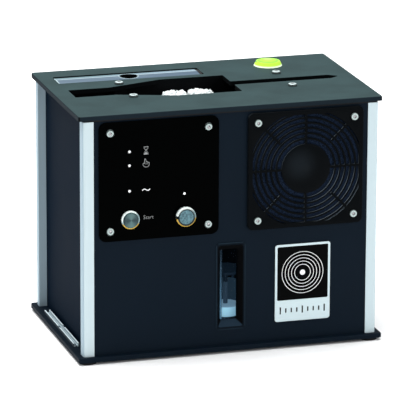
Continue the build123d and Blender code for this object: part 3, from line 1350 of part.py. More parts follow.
rocker_z = INLET_Z + ROCKER_RISE
rocker_y = FACE + INLET_T - ROCKER_AXIS_DEPTH
rocker_hole_h = 2 * (ROCKER_R + PLAY)
socket_z = INLET_Z - SOCKET_DROP
inlet_face = FACE + INLET_T
with BuildPart() as power_inlet:
    with BuildSketch(at_y(FACE)):
        with Locations((INLET_X, INLET_Z)):
            RectangleRounded(INLET_W, INLET_H, INLET_CORNER_R)
    extrude(amount=-INLET_T)
    with BuildSketch(at_y(FACE)):
        with Locations((INLET_X, INLET_Z)):
            Rectangle(INLET_BODY_W, INLET_BODY_H)
    extrude(amount=INLET_DEPTH)
    with BuildSketch(at_y(inlet_face)) as socket_mouth:
        with Locations((INLET_X, socket_z)):
            Rectangle(SOCKET_W, SOCKET_H)
        chamfer(socket_mouth.vertices().group_by(Axis.Z)[-1], SOCKET_H / 4)
    extrude(amount=SOCKET_DEPTH, mode=Mode.SUBTRACT)
    with BuildSketch(at_y(inlet_face - SOCKET_DEPTH)):
        with Locations((INLET_X, socket_z)):
            with Locations((-PIN_PITCH, 0), (0, PIN_H / 2), (PIN_PITCH, 0)):
                Rectangle(PIN_W, PIN_H)
    extrude(amount=-PIN_L)
    with BuildSketch(at_y(inlet_face)):
        with Locations((INLET_X, rocker_z)):
            Rectangle(ROCKER_W + 2 * PLAY, rocker_hole_h)
    extrude(amount=ROCKER_AXIS_DEPTH + ROCKER_R + PLAY, mode=Mode.SUBTRACT)
    with BuildSketch(Plane.YZ.offset(INLET_X - ROCKER_W / 2 - ROCKER_PIN_L - PLAY)):
        with Locations((rocker_y, rocker_z)):
            Circle(ROCKER_PIN_R + RUN_GAP)
    extrude(amount=ROCKER_W + 2 * (ROCKER_PIN_L + PLAY), mode=Mode.SUBTRACT)
save(power_inlet, "power_inlet")

# Rocker: a drum slice with two flat wings that meet in a shallow valley, resting tipped to off.
with BuildPart() as power_rocker:
    with BuildSketch(Plane.YZ.offset(INLET_X - ROCKER_W / 2)) as rocker_side:
        with Locations((rocker_y, rocker_z)):
            Circle(ROCKER_R)
        with Locations(Location((rocker_y, rocker_z, 0), (0, 0, ROCKER_TILT))):
            with Locations((ROCKER_FACE - ROCKER_R, 0)):
                Rectangle(2 * ROCKER_R, 2 * ROCKER_R, mode=Mode.INTERSECT)
            with Locations(Location((ROCKER_FACE, 0, 0), (0, 0, 45))):
                Rectangle(sqrt(2) * ROCKER_DIP, sqrt(2) * ROCKER_DIP, mode=Mode.SUBTRACT)
    extrude(amount=ROCKER_W)
    with BuildSketch(Plane.YZ.offset(INLET_X - ROCKER_W / 2 - ROCKER_PIN_L)):
        with Locations((rocker_y, rocker_z)):
            Circle(ROCKER_PIN_R)
    extrude(amount=ROCKER_W + 2 * ROCKER_PIN_L)
save(power_rocker, "power_rocker")

tap_end = FACE + TAP_FLANGE_T + TAP_BODY_L
tap_mid = FACE + TAP_FLANGE_T + TAP_BODY_L / 2
with BuildPart() as drain_tap:
    with BuildSketch(at_y(FACE)):
        with Locations((TAP_X, TAP_Z)):
            Circle(TAP_FLANGE_R)
    extrude(amount=-TAP_FLANGE_T)
    with BuildSketch(at_y(FACE)):
        with Locations((TAP_X, TAP_Z)):
            Circle(TAP_R)
    extrude(amount=-(TAP_FLANGE_T + TAP_BODY_L))
    with BuildSketch(at_y(tap_end)):
        with Locations((TAP_X, TAP_Z)):
            Circle(SPIGOT_R)
    extrude(amount=-SPIGOT_L)
    with BuildSketch(at_y(tap_end + SPIGOT_L)):
        with Locations((TAP_X, TAP_Z)):
            Circle(SPIGOT_BORE_R)
    extrude(amount=SPIGOT_L, mode=Mode.SUBTRACT)
    with BuildSketch(at_y(-TANK_REAR)):
        with Locations((TAP_X, TAP_Z)):
            Circle(TAP_PIPE_R)
    extrude(amount=-(FACE + TANK_REAR))
    with BuildSketch(Plane.XY.offset(TAP_Z)):
        with Locations((TAP_X, tap_mid)):
            Circle(TAP_NECK_R)
    extrude(amount=TAP_R + TAP_STEM_H)
    with BuildSketch(Plane.XY.offset(TAP_Z)):
        with Locations((TAP_X, tap_mid)):
            Circle(TAP_STEM_R + RUN_GAP)
    extrude(amount=TAP_R + TAP_STEM_H, mode=Mode.SUBTRACT)
save(drain_tap, "drain_tap")

# Quarter-turn lever on its stem, lying across the tap when shut.
lever_z = TAP_Z + TAP_R + TAP_STEM_H + PLAY
with BuildPart() as tap_lever:
    with BuildSketch(Plane.XY.offset(lever_z)):
        with Locations((TAP_X - LEVER_L / 2 + LEVER_W / 2, tap_mid)):
            SlotOverall(LEVER_L, LEVER_W)
    extrude(amount=LEVER_T)
    fillet(tap_lever.faces().sort_by(Axis.Z)[-1].edges(), EDGE_BREAK)
    with BuildSketch(Plane.XY.offset(TAP_Z + PLAY)):
        with Locations((TAP_X, tap_mid)):
            Circle(TAP_STEM_R)
    extrude(amount=lever_z - TAP_Z - PLAY)
save(tap_lever, "tap_lever")

# Pump behind the tank: nozzle on the tank's back wall, body on its foot, outlet up to the trough's slope.
slope = (TROUGH_KNEE - TROUGH_BOTTOM) / (CHAMBER_HALF - TROUGH_FLOOR_HALF)
pump_front = -TANK_REAR + PUMP_NOZZLE_L
outlet_top = TROUGH_BOTTOM + slope * (-PUMP_X - PUMP_NOZZLE_R - TROUGH_FLOOR_HALF) - PLAY
with BuildPart() as pump:
    with BuildSketch(at_y(-TANK_REAR)):
        with Locations((PUMP_X, PUMP_Z)):
            Circle(PUMP_NOZZLE_R)
    extrude(amount=-PUMP_NOZZLE_L)
    with BuildSketch(at_y(pump_front)):
        with Locations((PUMP_X, PUMP_Z)):
            Circle(PUMP_R)
    extrude(amount=-PUMP_L)
    with BuildSketch(at_y(pump_front + PUMP_L / 4)):
        with Locations((PUMP_X, (BASE_TOP + PUMP_Z) / 2)):
            Rectangle(PUMP_FOOT_W, PUMP_Z - BASE_TOP)
    extrude(amount=-PUMP_L / 2)
    with BuildSketch(Plane.XY.offset(PUMP_Z)):
        with Locations((PUMP_X, pump_front + PUMP_L / 6)):
            Circle(PUMP_NOZZLE_R)
    extrude(amount=outlet_top - PUMP_Z)
save(pump, "pump")
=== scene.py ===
"""Looks of the record cleaning machine: finishes, soft pieces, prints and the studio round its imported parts.

All lengths are metres in the parts' own frame: +X to the right along the record slot, +Y to the back, +Z up.
"""

import json
import logging
import math
from collections.abc import Callable, Mapping, Sequence
from dataclasses import dataclass, field
from enum import Enum
from typing import Any, Union

import bmesh
import bpy
from mathutils import Matrix, Vector, noise


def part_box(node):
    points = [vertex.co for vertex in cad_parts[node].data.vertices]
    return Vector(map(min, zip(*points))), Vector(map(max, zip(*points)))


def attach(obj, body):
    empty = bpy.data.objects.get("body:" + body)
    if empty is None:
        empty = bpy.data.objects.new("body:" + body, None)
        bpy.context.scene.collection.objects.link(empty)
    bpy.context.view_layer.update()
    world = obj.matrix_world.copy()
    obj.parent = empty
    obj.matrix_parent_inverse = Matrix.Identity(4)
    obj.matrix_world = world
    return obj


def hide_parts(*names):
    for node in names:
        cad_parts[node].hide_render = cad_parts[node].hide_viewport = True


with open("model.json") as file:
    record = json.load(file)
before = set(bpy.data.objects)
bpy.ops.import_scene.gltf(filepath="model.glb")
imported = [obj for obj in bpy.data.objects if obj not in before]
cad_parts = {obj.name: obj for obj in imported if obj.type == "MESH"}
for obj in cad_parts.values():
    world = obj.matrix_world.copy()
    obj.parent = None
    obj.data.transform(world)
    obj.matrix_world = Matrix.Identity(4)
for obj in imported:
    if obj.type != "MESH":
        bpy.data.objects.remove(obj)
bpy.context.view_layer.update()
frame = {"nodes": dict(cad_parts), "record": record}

LOG = logging.getLogger("record_cleaner")
HOUSING = "housing"
MM = 0.001

Colour = tuple[float, float, float]
Place = tuple[float, float, float]
Value = Union[float, "Signal"]
Piece = bpy.types.Object
Material = bpy.types.Material
Inputs = Mapping[str, Any]
Points = Sequence[tuple[float, float]]


# ------------------------------------------------------------------ shader maths


def operator(operation: str, turned: bool = False) -> Callable[["Signal", Value], "Signal"]:
    """A signal's operator that adds one Math node, with its two values turned round for a reflected form.

    Args:
        operation: The Math node's operation.
        turned: Whether the other value comes first.

    Returns:
        The operator's method.
    """

    def method(self: "Signal", other: Value) -> "Signal":
        """Result of the Math node."""
        ends = (other, self) if turned else (self, other)
        return self.sheet.maths(operation, *ends)

    return method


class Signal:
    """A node's output that takes part in shader arithmetic."""

    __add__ = __radd__ = operator("ADD")
    __sub__ = operator("SUBTRACT")
    __rsub__ = operator("SUBTRACT", turned=True)
    __mul__ = __rmul__ = operator("MULTIPLY")
    __truediv__ = operator("DIVIDE")
    over = operator("GREATER_THAN")

    def __init__(self, sheet: "NodeSheet", socket: bpy.types.NodeSocket) -> None:
        """Keep the socket and the sheet it stands on."""
        self.sheet = sheet
        self.socket = socket

    def size(self) -> "Signal":
        """This value without its sign."""
        return self.sheet.maths("ABSOLUTE", self)

    def held(self) -> "Signal":
        """This value held between 0 and 1."""
        return self.sheet.node("Clamp", "Result", {"Value": self})

    def ramp(self, low: float, high: float) -> "Signal":
        """0 at low, 1 at high, smooth between and held outside."""
        inputs = {"Value": self, "From Min": low, "From Max": high}
        return self.sheet.node("MapRange", "Result", inputs, interpolation_type="SMOOTHSTEP")

    def near(self, spot: float, inner: float, outer: float) -> "Signal":
        """1 up to the inner distance from a spot, 0 past the outer one."""
        return 1 - (self - spot).size().ramp(inner, outer)


class NodeSheet:
    """The node sheet of one material."""

    def __init__(self, name: str) -> None:
        """Start an empty sheet under this name.

        Args:
            name: The material's name.
        """
        self.material = bpy.data.materials.new(name)
        self.material.use_nodes = True
        self.tree = self.material.node_tree
        self.tree.nodes.clear()
        self.place = self.node("TexCoord", "Object")

    @staticmethod
    def _pick(sockets: Sequence[bpy.types.NodeSocket], key: str) -> bpy.types.NodeSocket:
        """The socket with this identifier, or else with this name."""
        exact = [socket for socket in sockets if socket.identifier == key]
        return exact[0] if exact else next(socket for socket in sockets if socket.name == key)

    def node(self, kind: str, output: str, inputs: Inputs | None = None, **settings: Any) -> Signal:
        """Add one node.

        Args:
            kind: The node's type, without the word ShaderNode in front.
            output: The output that is wanted.
            inputs: Numbers, colours or signals, by socket.
            settings: Its own properties, which are set first.

        Returns:
            The wanted output.
        """
        made = self.tree.nodes.new(f"ShaderNode{kind}")
        for key, value in settings.items():
            setattr(made, key, value)
        for key, value in (inputs or {}).items():
            socket = self._pick(made.inputs, key)
            if isinstance(value, Signal):
                self.tree.links.new(value.socket, socket)
            else:
                socket.default_value = (*value, 1.0) if socket.type == "RGBA" else value
        return Signal(self, self._pick(made.outputs, output))

    def maths(self, operation: str, first: Value, second: Value = 0.0) -> Signal:
        """One Math node on one or two values."""
        return self.node("Math", "Value", {"Value": first, "Value_001": second}, operation=operation)

    def axes(self, names: str, place: Signal | None = None) -> list[Signal]:
        """Some of the coordinates X, Y and Z of a place, or else of the place on the object, in metres."""
        return [self.node("SeparateXYZ", name, {"Vector": place or self.place}) for name in names]

    def moved(self, centre: Place, scale: Place = (1.0, 1.0, 1.0)) -> Signal:
        """The place on the object, measured from a centre and stretched."""
        shift = [-c * s for c, s in zip(centre, scale)]
        return self.node("Mapping", "Vector", {"Vector": self.place, "Location": shift, "Scale": scale})

    def noise(
        self, scale: float, detail: float = 3.0, rough: float = 0.6, place: Signal | None = None
    ) -> Signal:
        """Soft noise from 0 to 1; scale is in bumps per metre."""
        inputs = {"Vector": place or self.place, "Scale": scale, "Detail": detail, "Roughness": rough}
        return self.node("TexNoise", "Fac", inputs)

    def lines(self, along: Place, detail: float = 3.0) -> Signal:
        """Noise drawn out into lines, with its bumps per metre given for each axis."""
        return self.noise(1.0, detail, place=self.moved((0, 0, 0), along))

    def cells(self, scale: float) -> Signal:
        """Distance from the middle of each cell; scale is in cells per metre."""
        return self.node("TexVoronoi", "Distance", {"Vector": self.place, "Scale": scale})

    def mix(self, first: Colour | Signal, second: Colour | Signal, share: Value) -> Signal:
        """Colour between two colours, each a constant or a signal."""
        inputs = {"Factor_Float": share, "A_Color": first, "B_Color": second}
        return self.node("Mix", "Result_Color", inputs, data_type="RGBA")

    def layers(self, base: Colour | Signal, *layers: tuple[Colour | Signal, Value]) -> Signal:
        """Colours laid over a base one after another, each with its share.

        Args:
            base: The colour underneath.
            layers: Each colour with the share of it that shows.

        Returns:
            The colour on top of all.
        """
        for colour, share in layers:
            base = self.mix(base, colour, share)
        return base

    def reach(self, first: Signal, second: Signal) -> Signal:
        """Length of a step along two axes."""
        return self.maths("SQRT", first * first + second * second)

    def finish(
        self, base: Signal, rough: Value, gloss: float, glow: float = 0.0,
        relief: tuple[Signal, float, float] | None = None, **others: Any,
    ) -> Material:
        """Close the sheet with one Principled shader.

        Args:
            base: Its base colour.
            rough: Its roughness.
            gloss: Its specular level.
            glow: How strongly it shines in its own colour.
            relief: Height of the surface, the depth of that in metres, and its strength.
            others: Its other sockets, with underscores for spaces.

        Returns:
            The material.
        """
        inputs = {"Base Color": base, "Roughness": rough, "Specular IOR Level": gloss}
        inputs |= {key.replace("_", " "): value for key, value in others.items()}
        if glow:
            inputs |= {"Emission Color": base, "Emission Strength": glow}
        if relief:
            bump = dict(zip(("Height", "Distance", "Strength"), relief))
            inputs["Normal"] = self.node("Bump", "Normal", bump)
        shader = self.node("BsdfPrincipled", "BSDF", inputs)
        end = self.tree.nodes.new("ShaderNodeOutputMaterial")
        self.tree.links.new(shader.socket, end.inputs["Surface"])
        return self.material


def tint(colour: Colour, factor: float) -> Colour:
    """A colour made darker or lighter."""
    return tuple(factor * part for part in colour)


# ------------------------------------------------------------------ finishes


@dataclass(frozen=True)
class Finish:
    """A procedural finish, which each kind paints on an empty sheet."""

    name: str

    def paint(self, sheet: NodeSheet) -> Material:
        """Paint the sheet."""
        raise NotImplementedError

    def make(self) -> Material:
        """Build the material."""
        return self.paint(NodeSheet(self.name))

    def on(self, *nodes: str) -> None:
        """Build the material and give it to these nodes.

        Args:
            nodes: The nodes' names.
        """
        material = self.make()
        for node in nodes:
            wear(frame["nodes"][node], material)


@dataclass(frozen=True)
class BoxFinish(Finish):
    """A finish that changes with the place in a box."""

    low: Vector
    high: Vector

    @property
    def middle(self) -> Vector:
        """Middle of the box."""
        return (self.low + self.high) / 2

    def inset(self, coordinate: Signal, axis: str) -> Signal:
        """How far a coordinate lies inside the nearer of the box's two sides on its axis."""
        index = "XYZ".index(axis)
        return (self.high[index] - self.low[index]) / 2 - (coordinate - self.middle[index]).size()


@dataclass(frozen=True)
class PowderCoat(Finish):
    """Stoved paint with a fine grain on sheet steel."""

    colour: Colour
    roughness: float
    gloss: float
    grain: float = 1.1 * MM

    def paint(self, sheet: NodeSheet) -> Material:
        """Grain and wide clouds.

        Args:
            sheet: The empty sheet to paint on.

        Returns:
            The material.
        """
        grain, cloud = sheet.noise(1 / self.grain), sheet.noise(14.0, 4.0, 0.55)
        base = sheet.mix(tint(self.colour, 0.72), tint(self.colour, 1.3), 0.55 * grain + 0.45 * cloud)
        rough = self.roughness - 0.06 + 0.12 * cloud
        return sheet.finish(base, rough, self.gloss, relief=(grain, 0.05 * MM, 0.7))


@dataclass(frozen=True)
class DrawnMetal(Finish):
    """Metal with fine drawing lines, their bumps per metre given for each axis."""

    colour: Colour
    roughness: float
    along: Place

    def paint(self, sheet: NodeSheet) -> Material:
        """Lines and wide clouds.

        Args:
            sheet: The empty sheet to paint on.

        Returns:
            The material.
        """
        lines, cloud = sheet.lines(self.along), sheet.noise(22.0, rough=0.5)
        base = sheet.mix(tint(self.colour, 0.86), self.colour, 0.6 * lines + 0.5 * cloud)
        rough = self.roughness - 0.05 + 0.1 * lines + 0.05 * cloud
        return sheet.finish(base, rough, 0.5, relief=(lines, 0.01 * MM, 0.5), Metallic=1.0)


@dataclass(frozen=True)
class PostMetal(BoxFinish):
    """Satin anodised posts with painted shade: their outer side faces are painted a shade bluer and darker
    than their front faces, which face the light.
    """

    # The front colour is the lit face; the side colour is painted shade on the outer side faces.
    front: Colour = (0.54, 0.64, 0.67)
    side: Colour = (0.33, 0.43, 0.49)

    def paint(self, sheet: NodeSheet) -> Material:
        """Lit front colour where the front or the back of the box is nearer than its sides, and painted shade
        in the side colour elsewhere.

        Args:
            sheet: The empty sheet to paint on.

        Returns:
            The material.
        """
        x, y = sheet.axes("XY")
        lines, cloud = sheet.lines((1400, 1400, 12)), sheet.noise(22.0, rough=0.5)
        # Painted shade: faces nearer the box's sides than its front or back take the darker side colour.
        painted_shade_side = (self.inset(y, "Y") - self.inset(x, "X")).over(0.0)
        wear_marks = (tint(self.side, 0.86), 0.12 * lines + 0.1 * cloud)
        base = sheet.layers(self.front, (self.side, painted_shade_side), wear_marks)
        rough = 0.5 + 0.1 * lines + 0.05 * cloud
        return sheet.finish(base, rough, 0.08, relief=(lines, 0.01 * MM, 0.5), Metallic=0.08)


@dataclass(frozen=True)
class RailMetal(BoxFinish):
    """Channel rail with a bright crest, and painted shade below it in its grey groove, on its flanks and on
    its outer walls.
    """

    wall: float = 1.2 * MM
    width: float = 6.3 * MM
    groove_half: float = 0.75 * MM
    # The crest colour is the lit top; the flank, groove and outer colours are painted shade.
    crest: Colour = (0.62, 0.73, 0.77)
    flank: Colour = (0.4, 0.49, 0.53)
    groove: Colour = (0.05, 0.07, 0.09)
    outer: Colour = (0.03, 0.042, 0.055)

    def paint(self, sheet: NodeSheet) -> Material:
        """Crest on top, and under it the groove, the flanks and the outer walls in painted shade.

        Args:
            sheet: The empty sheet to paint on.

        Returns:
            The material.
        """
        x, z = sheet.axes("XZ")
        lines, inset = sheet.lines((1400, 12, 1400)), self.inset(x, "X")
        # Painted shade on everything below the crest.
        below = (self.high.z - 0.5 * self.wall - z).over(0.0)
        on_flank = (inset - self.width / 2).size().over(self.groove_half)
        on_wall = (0.5 * self.wall - inset).over(0.0)
        under = sheet.layers(self.groove, (self.flank, on_flank), (self.outer, on_wall))
        base = sheet.layers(self.crest, (under, below), (self.groove, 0.15 * lines))
        return sheet.finish(base, 0.5 + 0.1 * lines, 0.1, Metallic=0.08 + 0.04 * lines)


@dataclass(frozen=True)
class PlateCoat(BoxFinish):
    """Satin paint of a thick plate: its face with a painted sheen, its darker outer edges, and the walls of
    its cut-outs in painted shade.
    """

    # The face colour carries a painted sheen of grazing light; the edge and wall colours are the same paint
    # without it, and the walls are painted near black as shade.
    face: Colour = (0.022, 0.041, 0.043)
    edge: Colour = (0.0075, 0.0135, 0.019)
    wall: Colour = (0.0008, 0.0015, 0.002)
    edge_band: float = 0.4 * MM

    def paint(self, sheet: NodeSheet) -> Material:
        """Face with its painted sheen on top, the darker edge colour near the sides of the box, and painted
        shade in the wall colour elsewhere.

        Args:
            sheet: The empty sheet to paint on.

        Returns:
            The material.
        """
        x, y, z = sheet.axes("XYZ")
        grain, cloud = sheet.noise(1100.0), sheet.noise(26.0, 5.0)
        shade = (0.4 * grain + 0.6 * cloud.ramp(0.3, 0.7)).held()
        face = sheet.mix(tint(self.face, 0.8), tint(self.face, 1.22), shade)
        nearest = sheet.maths("MINIMUM", self.inset(x, "X"), self.inset(y, "Y"))
        # Painted shade: cut-out walls near black, outer edges darker than the face.
        sides = sheet.mix(self.wall, self.edge, (self.edge_band - nearest).over(0.0))
        on_face = z.over(self.high.z - 0.5 * self.edge_band)
        rough = 0.55 + 0.1 * cloud + 0.1 * (1 - on_face)
        return sheet.finish(sheet.mix(sides, face, on_face), rough, 0.05, relief=(grain, 0.04 * MM, 0.7))


@dataclass(frozen=True)
class TurnedFace(Finish):
    """Turned steel: a disc with a soft upright painted highlight, and a rim with a painted white highlight
    above and a painted warm reflection in brass colour below.
    """

    centre: Place
    disc_r: float
    reach: float
    # How strongly the painted highlight shows as an upright band on the disc.
    highlight_streak: float = 0.0
    mottle: float = 0.0
    outline: float = 0.0
    notch: float = 0.0
    # Where the brass-coloured painted warm reflection starts, down the rim and out from the middle.
    warm_reflection_from: float = 0.15
    warm_reflection_r: float = 0.0
    groove_r: float = 0.0
    # Depth past which the rim is painted dark as the shadow gap at its foot.
    shadow_gap_y: float = 1.0
    speck: float = 2.2 * MM
    pitch: float = 0.5 * MM
    # The white colour is a painted highlight, the brass colour a painted warm reflection, and the darkest
    # colour painted shade.
    dark: Colour = (0.045, 0.085, 0.105)
    light: Colour = (0.22, 0.36, 0.36)
    bright: Colour = (0.86, 0.95, 0.92)
    cool: Colour = (0.25, 0.36, 0.38)
    brass: Colour = (0.6, 0.38, 0.05)
    shade: Colour = (0.006, 0.012, 0.014)

    def paint(self, sheet: NodeSheet) -> Material:
        """Disc and rim with their painted highlights and warm reflection, then painted shade in the lines and
        the notch cut into them and behind the rim, and the marks of the lathe.

        Args:
            sheet: The empty sheet to paint on.

        Returns:
            The material.
        """
        (depth,) = sheet.axes("Y")
        across, up = sheet.axes("XZ", sheet.moved(self.centre))
        radius = sheet.reach(across, up)
        # Painted highlight: an upright band where the fan is highest.
        fan = 0.5 - 0.5 * sheet.maths("COSINE", sheet.maths("ARCTAN2", up, across) * 2.0)
        fine = sheet.noise(1500.0, 2.0)
        share = self.highlight_streak * fan + self.mottle * sheet.cells(1 / self.speck) + 0.25 * fine
        disc = sheet.mix(self.dark, self.light, share.held())
        # Painted warm reflection on the lower rim with painted shade inside it, and a painted highlight on its
        # upper left.
        warm_reflection_share = ((0.0 - up) / self.reach).ramp(self.warm_reflection_from, self.warm_reflection_from + 0.2)
        rim = sheet.layers(
            self.cool,
            (self.bright, ((0.9 * up - 0.45 * across) / self.reach).ramp(0.05, 0.55)),
            (self.shade, warm_reflection_share * (self.warm_reflection_r - radius).over(0.0) * 0.8),
            (self.brass, warm_reflection_share * radius.over(self.warm_reflection_r)),
            (self.shade, (depth - self.shadow_gap_y).over(0.0)),
        )
        # Painted shade in the outline, the groove and the notch.
        base = sheet.layers(
            disc,
            (rim, radius.over(self.disc_r)),
            (self.shade, radius.near(self.disc_r, 0.4 * MM, 0.8 * MM) * self.outline),
            (self.shade, radius.near(self.groove_r, 0.1 * MM, 0.4 * MM) * (0.6 if self.groove_r else 0.0)),
            (self.shade, (0.0 - across).over(self.disc_r) * (self.notch - up.size()).over(0.0)),
        )
        lathe = sheet.maths("SINE", radius * (2 * math.pi / self.pitch))
        return sheet.finish(base, 0.4 + 0.1 * fine, 0.3, relief=(lathe + fine, 0.01 * MM, 0.4), Metallic=0.25)


@dataclass(frozen=True)
class ScrewSteel(Finish):
    """Button-head steel round each screw: a bright ring, painted shade as a dark socket line and a dark rim,
    and a soft grey centre painted lighter to offset the shadow in the socket.

    Each entry of centres gives a middle on two axes and half the pitch of the screws round it on each.
    """

    axes: str
    centres: tuple[tuple[float, float, float, float], ...]
    head_r: float
    socket_r: float
    # The centre colour is painted light against the socket's shadow; the dark colour is painted shade.
    ring: Colour = (0.4, 0.48, 0.47)
    centre: Colour = (0.62, 0.6, 0.62)
    dark: Colour = (0.03, 0.042, 0.042)

    def paint(self, sheet: NodeSheet) -> Material:
        """Rings round the nearest screw, with their painted shade and painted light.

        Args:
            sheet: The empty sheet to paint on.

        Returns:
            The material.
        """
        first, second = sheet.axes(self.axes)
        radius = None
        for middle_a, middle_b, half_a, half_b in self.centres:
            near = sheet.reach((first - middle_a).size() - half_a, (second - middle_b).size() - half_b)
            radius = near if radius is None else sheet.maths("MINIMUM", radius, near)
        fine = sheet.noise(1200.0, 2.0)
        base = sheet.layers(
            self.centre,
            (self.ring, radius.over(self.socket_r)),
            # Painted shade at the socket's edge and round the head's rim.
            (self.dark, radius.near(self.socket_r, 0.1 * self.socket_r, 0.4 * self.socket_r) * 0.6),
            (self.dark, radius.ramp(0.82 * self.head_r, 0.94 * self.head_r) * 0.95),
        )
        return sheet.finish(base, 0.35 + 0.15 * fine, 0.3, relief=(fine, 0.01 * MM, 0.4), Metallic=0.3)


@dataclass(frozen=True)
class Moulding(Finish):
    """Moulded plastic with a spark-eroded grain."""

    colour: Colour
    roughness: float
    gloss: float = 0.3
    relief: float = 0.02 * MM

    def paint(self, sheet: NodeSheet) -> Material:
        """Clouds over a cellular grain.

        Args:
            sheet: The empty sheet to paint on.

        Returns:
            The material.
        """
        cloud = sheet.noise(35.0, rough=0.5)
        base = sheet.mix(tint(self.colour, 0.8), tint(self.colour, 1.2), cloud)
        rough = self.roughness - 0.05 + 0.1 * cloud
        return sheet.finish(base, rough, self.gloss, relief=(sheet.cells(1600.0), self.relief, 0.5))


@dataclass(frozen=True)
class GuardPlastic(Finish):
    """Black moulded plastic of a fan guard, with painted highlights on the rounded edges that face up and to
    the left.
    """

    hub: Place
    colour: Colour = (0.0006, 0.0011, 0.0016)
    # Painted light: the shine colour is the highlight on the edges, the hub light is a soft pool on the hub,
    # and across and up point towards the light.
    shine: Colour = (0.18, 0.22, 0.255)
    hub_light: Colour = (0.006, 0.0085, 0.011)
    hub_r: float = 22.0 * MM
    mouth_r: float = 65.0 * MM
    across: float = -0.62
    up: float = 0.6

    def paint(self, sheet: NodeSheet) -> Material:
        """A painted soft light on the hub, and painted highlights that grow to the lower right and end at the
        mouth.

        Args:
            sheet: The empty sheet to paint on.

        Returns:
            The material.
        """
        x, z = sheet.axes("XZ", sheet.moved(self.hub))
        facing_x, facing_z = sheet.axes("XZ", sheet.node("NewGeometry", "Normal"))
        lean = facing_x * self.across + facing_z * self.up
        grain, cloud = sheet.noise(700.0), sheet.noise(30.0, rough=0.5)
        spot = sheet.reach(x + 0.35 * self.hub_r, z - 0.25 * self.hub_r)
        spot = 1 - spot.ramp(0.1 * self.hub_r, 1.1 * self.hub_r)
        side = (0.5 + (x - z) / (4 * self.hub_r)).ramp(0.0, 0.9)
        inside = (self.mouth_r - sheet.reach(x, z)).over(0.0)
        # Painted highlight on edges whose normals face up and to the left.
        edge_highlight = lean.ramp(0.5, 0.86) * (0.5 + cloud) * (0.3 + 0.7 * side) * (0.25 + 0.75 * inside)
        base = sheet.mix(self.colour, tint(self.colour, 1.6), grain)
        base = sheet.layers(base, (self.hub_light, spot), (self.shine, edge_highlight.held()))
        return sheet.finish(base, 0.36 + 0.1 * cloud, 0.03, relief=(grain, 0.02 * MM, 0.5))


@dataclass(frozen=True)
class Lacquer(Finish):
    """Deep gloss plate with faint dust and fine wipe marks."""

    colour: Colour
    roughness: float
    gloss: float

    def paint(self, sheet: NodeSheet) -> Material:
        """Specks of dust and level wipes.

        Args:
            sheet: The empty sheet to paint on.

        Returns:
            The material.
        """
        dust = sheet.cells(500.0).ramp(0.06, 0.02)
        wipes = sheet.lines((60, 60, 400), 4.0)
        base = sheet.mix(self.colour, tint(self.colour, 4), 0.25 * dust + 0.3 * wipes)
        rough = self.roughness + 0.12 * wipes + 0.1 * dust
        return sheet.finish(base, rough, self.gloss, relief=(wipes, 0.005 * MM, 0.2))


@dataclass(frozen=True)
class ClearSheet(Finish):
    """Clear or frosted plastic: a thin film that lets part of the light through."""

    colour: Colour
    alpha: float
    roughness: float
    gloss: float

    def paint(self, sheet: NodeSheet) -> Material:
        """Haze and scuffs.

        Args:
            sheet: The empty sheet to paint on.

        Returns:
            The material.
        """
        haze, scuff = sheet.noise(30.0, 4.0), sheet.noise(800.0, 2.0, 0.5)
        base = sheet.mix(tint(self.colour, 0.85), self.colour, haze)
        alpha = self.alpha * (0.9 + 0.2 * haze)
        return sheet.finish(base, self.roughness + 0.06 * scuff, self.gloss, Alpha=alpha)


@dataclass(frozen=True)
class LidAcrylic(BoxFinish):
    """Milky acrylic cover with painted light: a pale band of painted reflection behind its ridge, a bluer one
    in front, and painted highlights on the ridge and the cut edges.
    """

    hole_r: float
    ridge_share: float = 0.6
    # Where the painted shadow of the gap at the back begins, and how far it runs in from the right end.
    gap_shadow_share: float = 0.9
    gap_shadow_end: float = 3.5 * MM
    # The back colours are painted reflection and the front colours show less of it; the bright colour is a
    # painted highlight and the darkest colour is painted shadow.
    back: Colour = (0.108, 0.182, 0.208)
    back_far: Colour = (0.17, 0.25, 0.31)
    front: Colour = (0.07, 0.107, 0.148)
    front_far: Colour = (0.055, 0.09, 0.13)
    bright: Colour = (0.4, 0.5, 0.52)
    gap_shadow: Colour = (0.001, 0.0015, 0.002)

    def paint(self, sheet: NodeSheet) -> Material:
        """Two bands of painted reflection, painted highlights on the ridge and the cut edges, lighter streaks,
        then painted shadow in the gap at the back and on the wall of the hole.

        Args:
            sheet: The empty sheet to paint on.

        Returns:
            The material.
        """
        x, y = sheet.axes("XY")
        streaks = sheet.lines((9, 400, 1))
        far = x.ramp(self.low.x, self.high.x)
        share = (y - self.low.y) / (self.high.y - self.low.y)
        front, back = sheet.mix(self.front, self.front_far, far), sheet.mix(self.back, self.back_far, far)
        # Painted reflection: the band behind the ridge is paler.
        base = sheet.mix(front, back, share.over(self.ridge_share))
        edge = 1 - (x - self.low.x).ramp(0.6 * MM, 1.4 * MM)
        radius = sheet.reach(x - self.middle.x, y - self.middle.y)
        rim = (self.hole_r + 1.5 * MM - radius).over(0.0)
        at_end = (x - self.high.x + self.gap_shadow_end).over(0.0)
        in_hole = (self.hole_r + 0.05 * MM - radius).over(0.0)
        # Painted shadow in the gap along the back, at the right end and down the hole's wall.
        in_gap_shadow = sheet.maths("MAXIMUM", share.over(self.gap_shadow_share), at_end)
        base = sheet.layers(
            base,
            (self.bright, share.near(self.ridge_share, 0.02, 0.06) * 0.8),
            (self.bright, (edge + 0.4 * rim).held()),
            (self.bright, 0.25 * streaks.ramp(0.5, 0.8)),
            (self.gap_shadow, sheet.maths("MAXIMUM", in_gap_shadow, in_hole)),
        )
        return sheet.finish(base, 0.3 + 0.1 * streaks, 0.15, Alpha=0.9 + 0.1 * streaks)


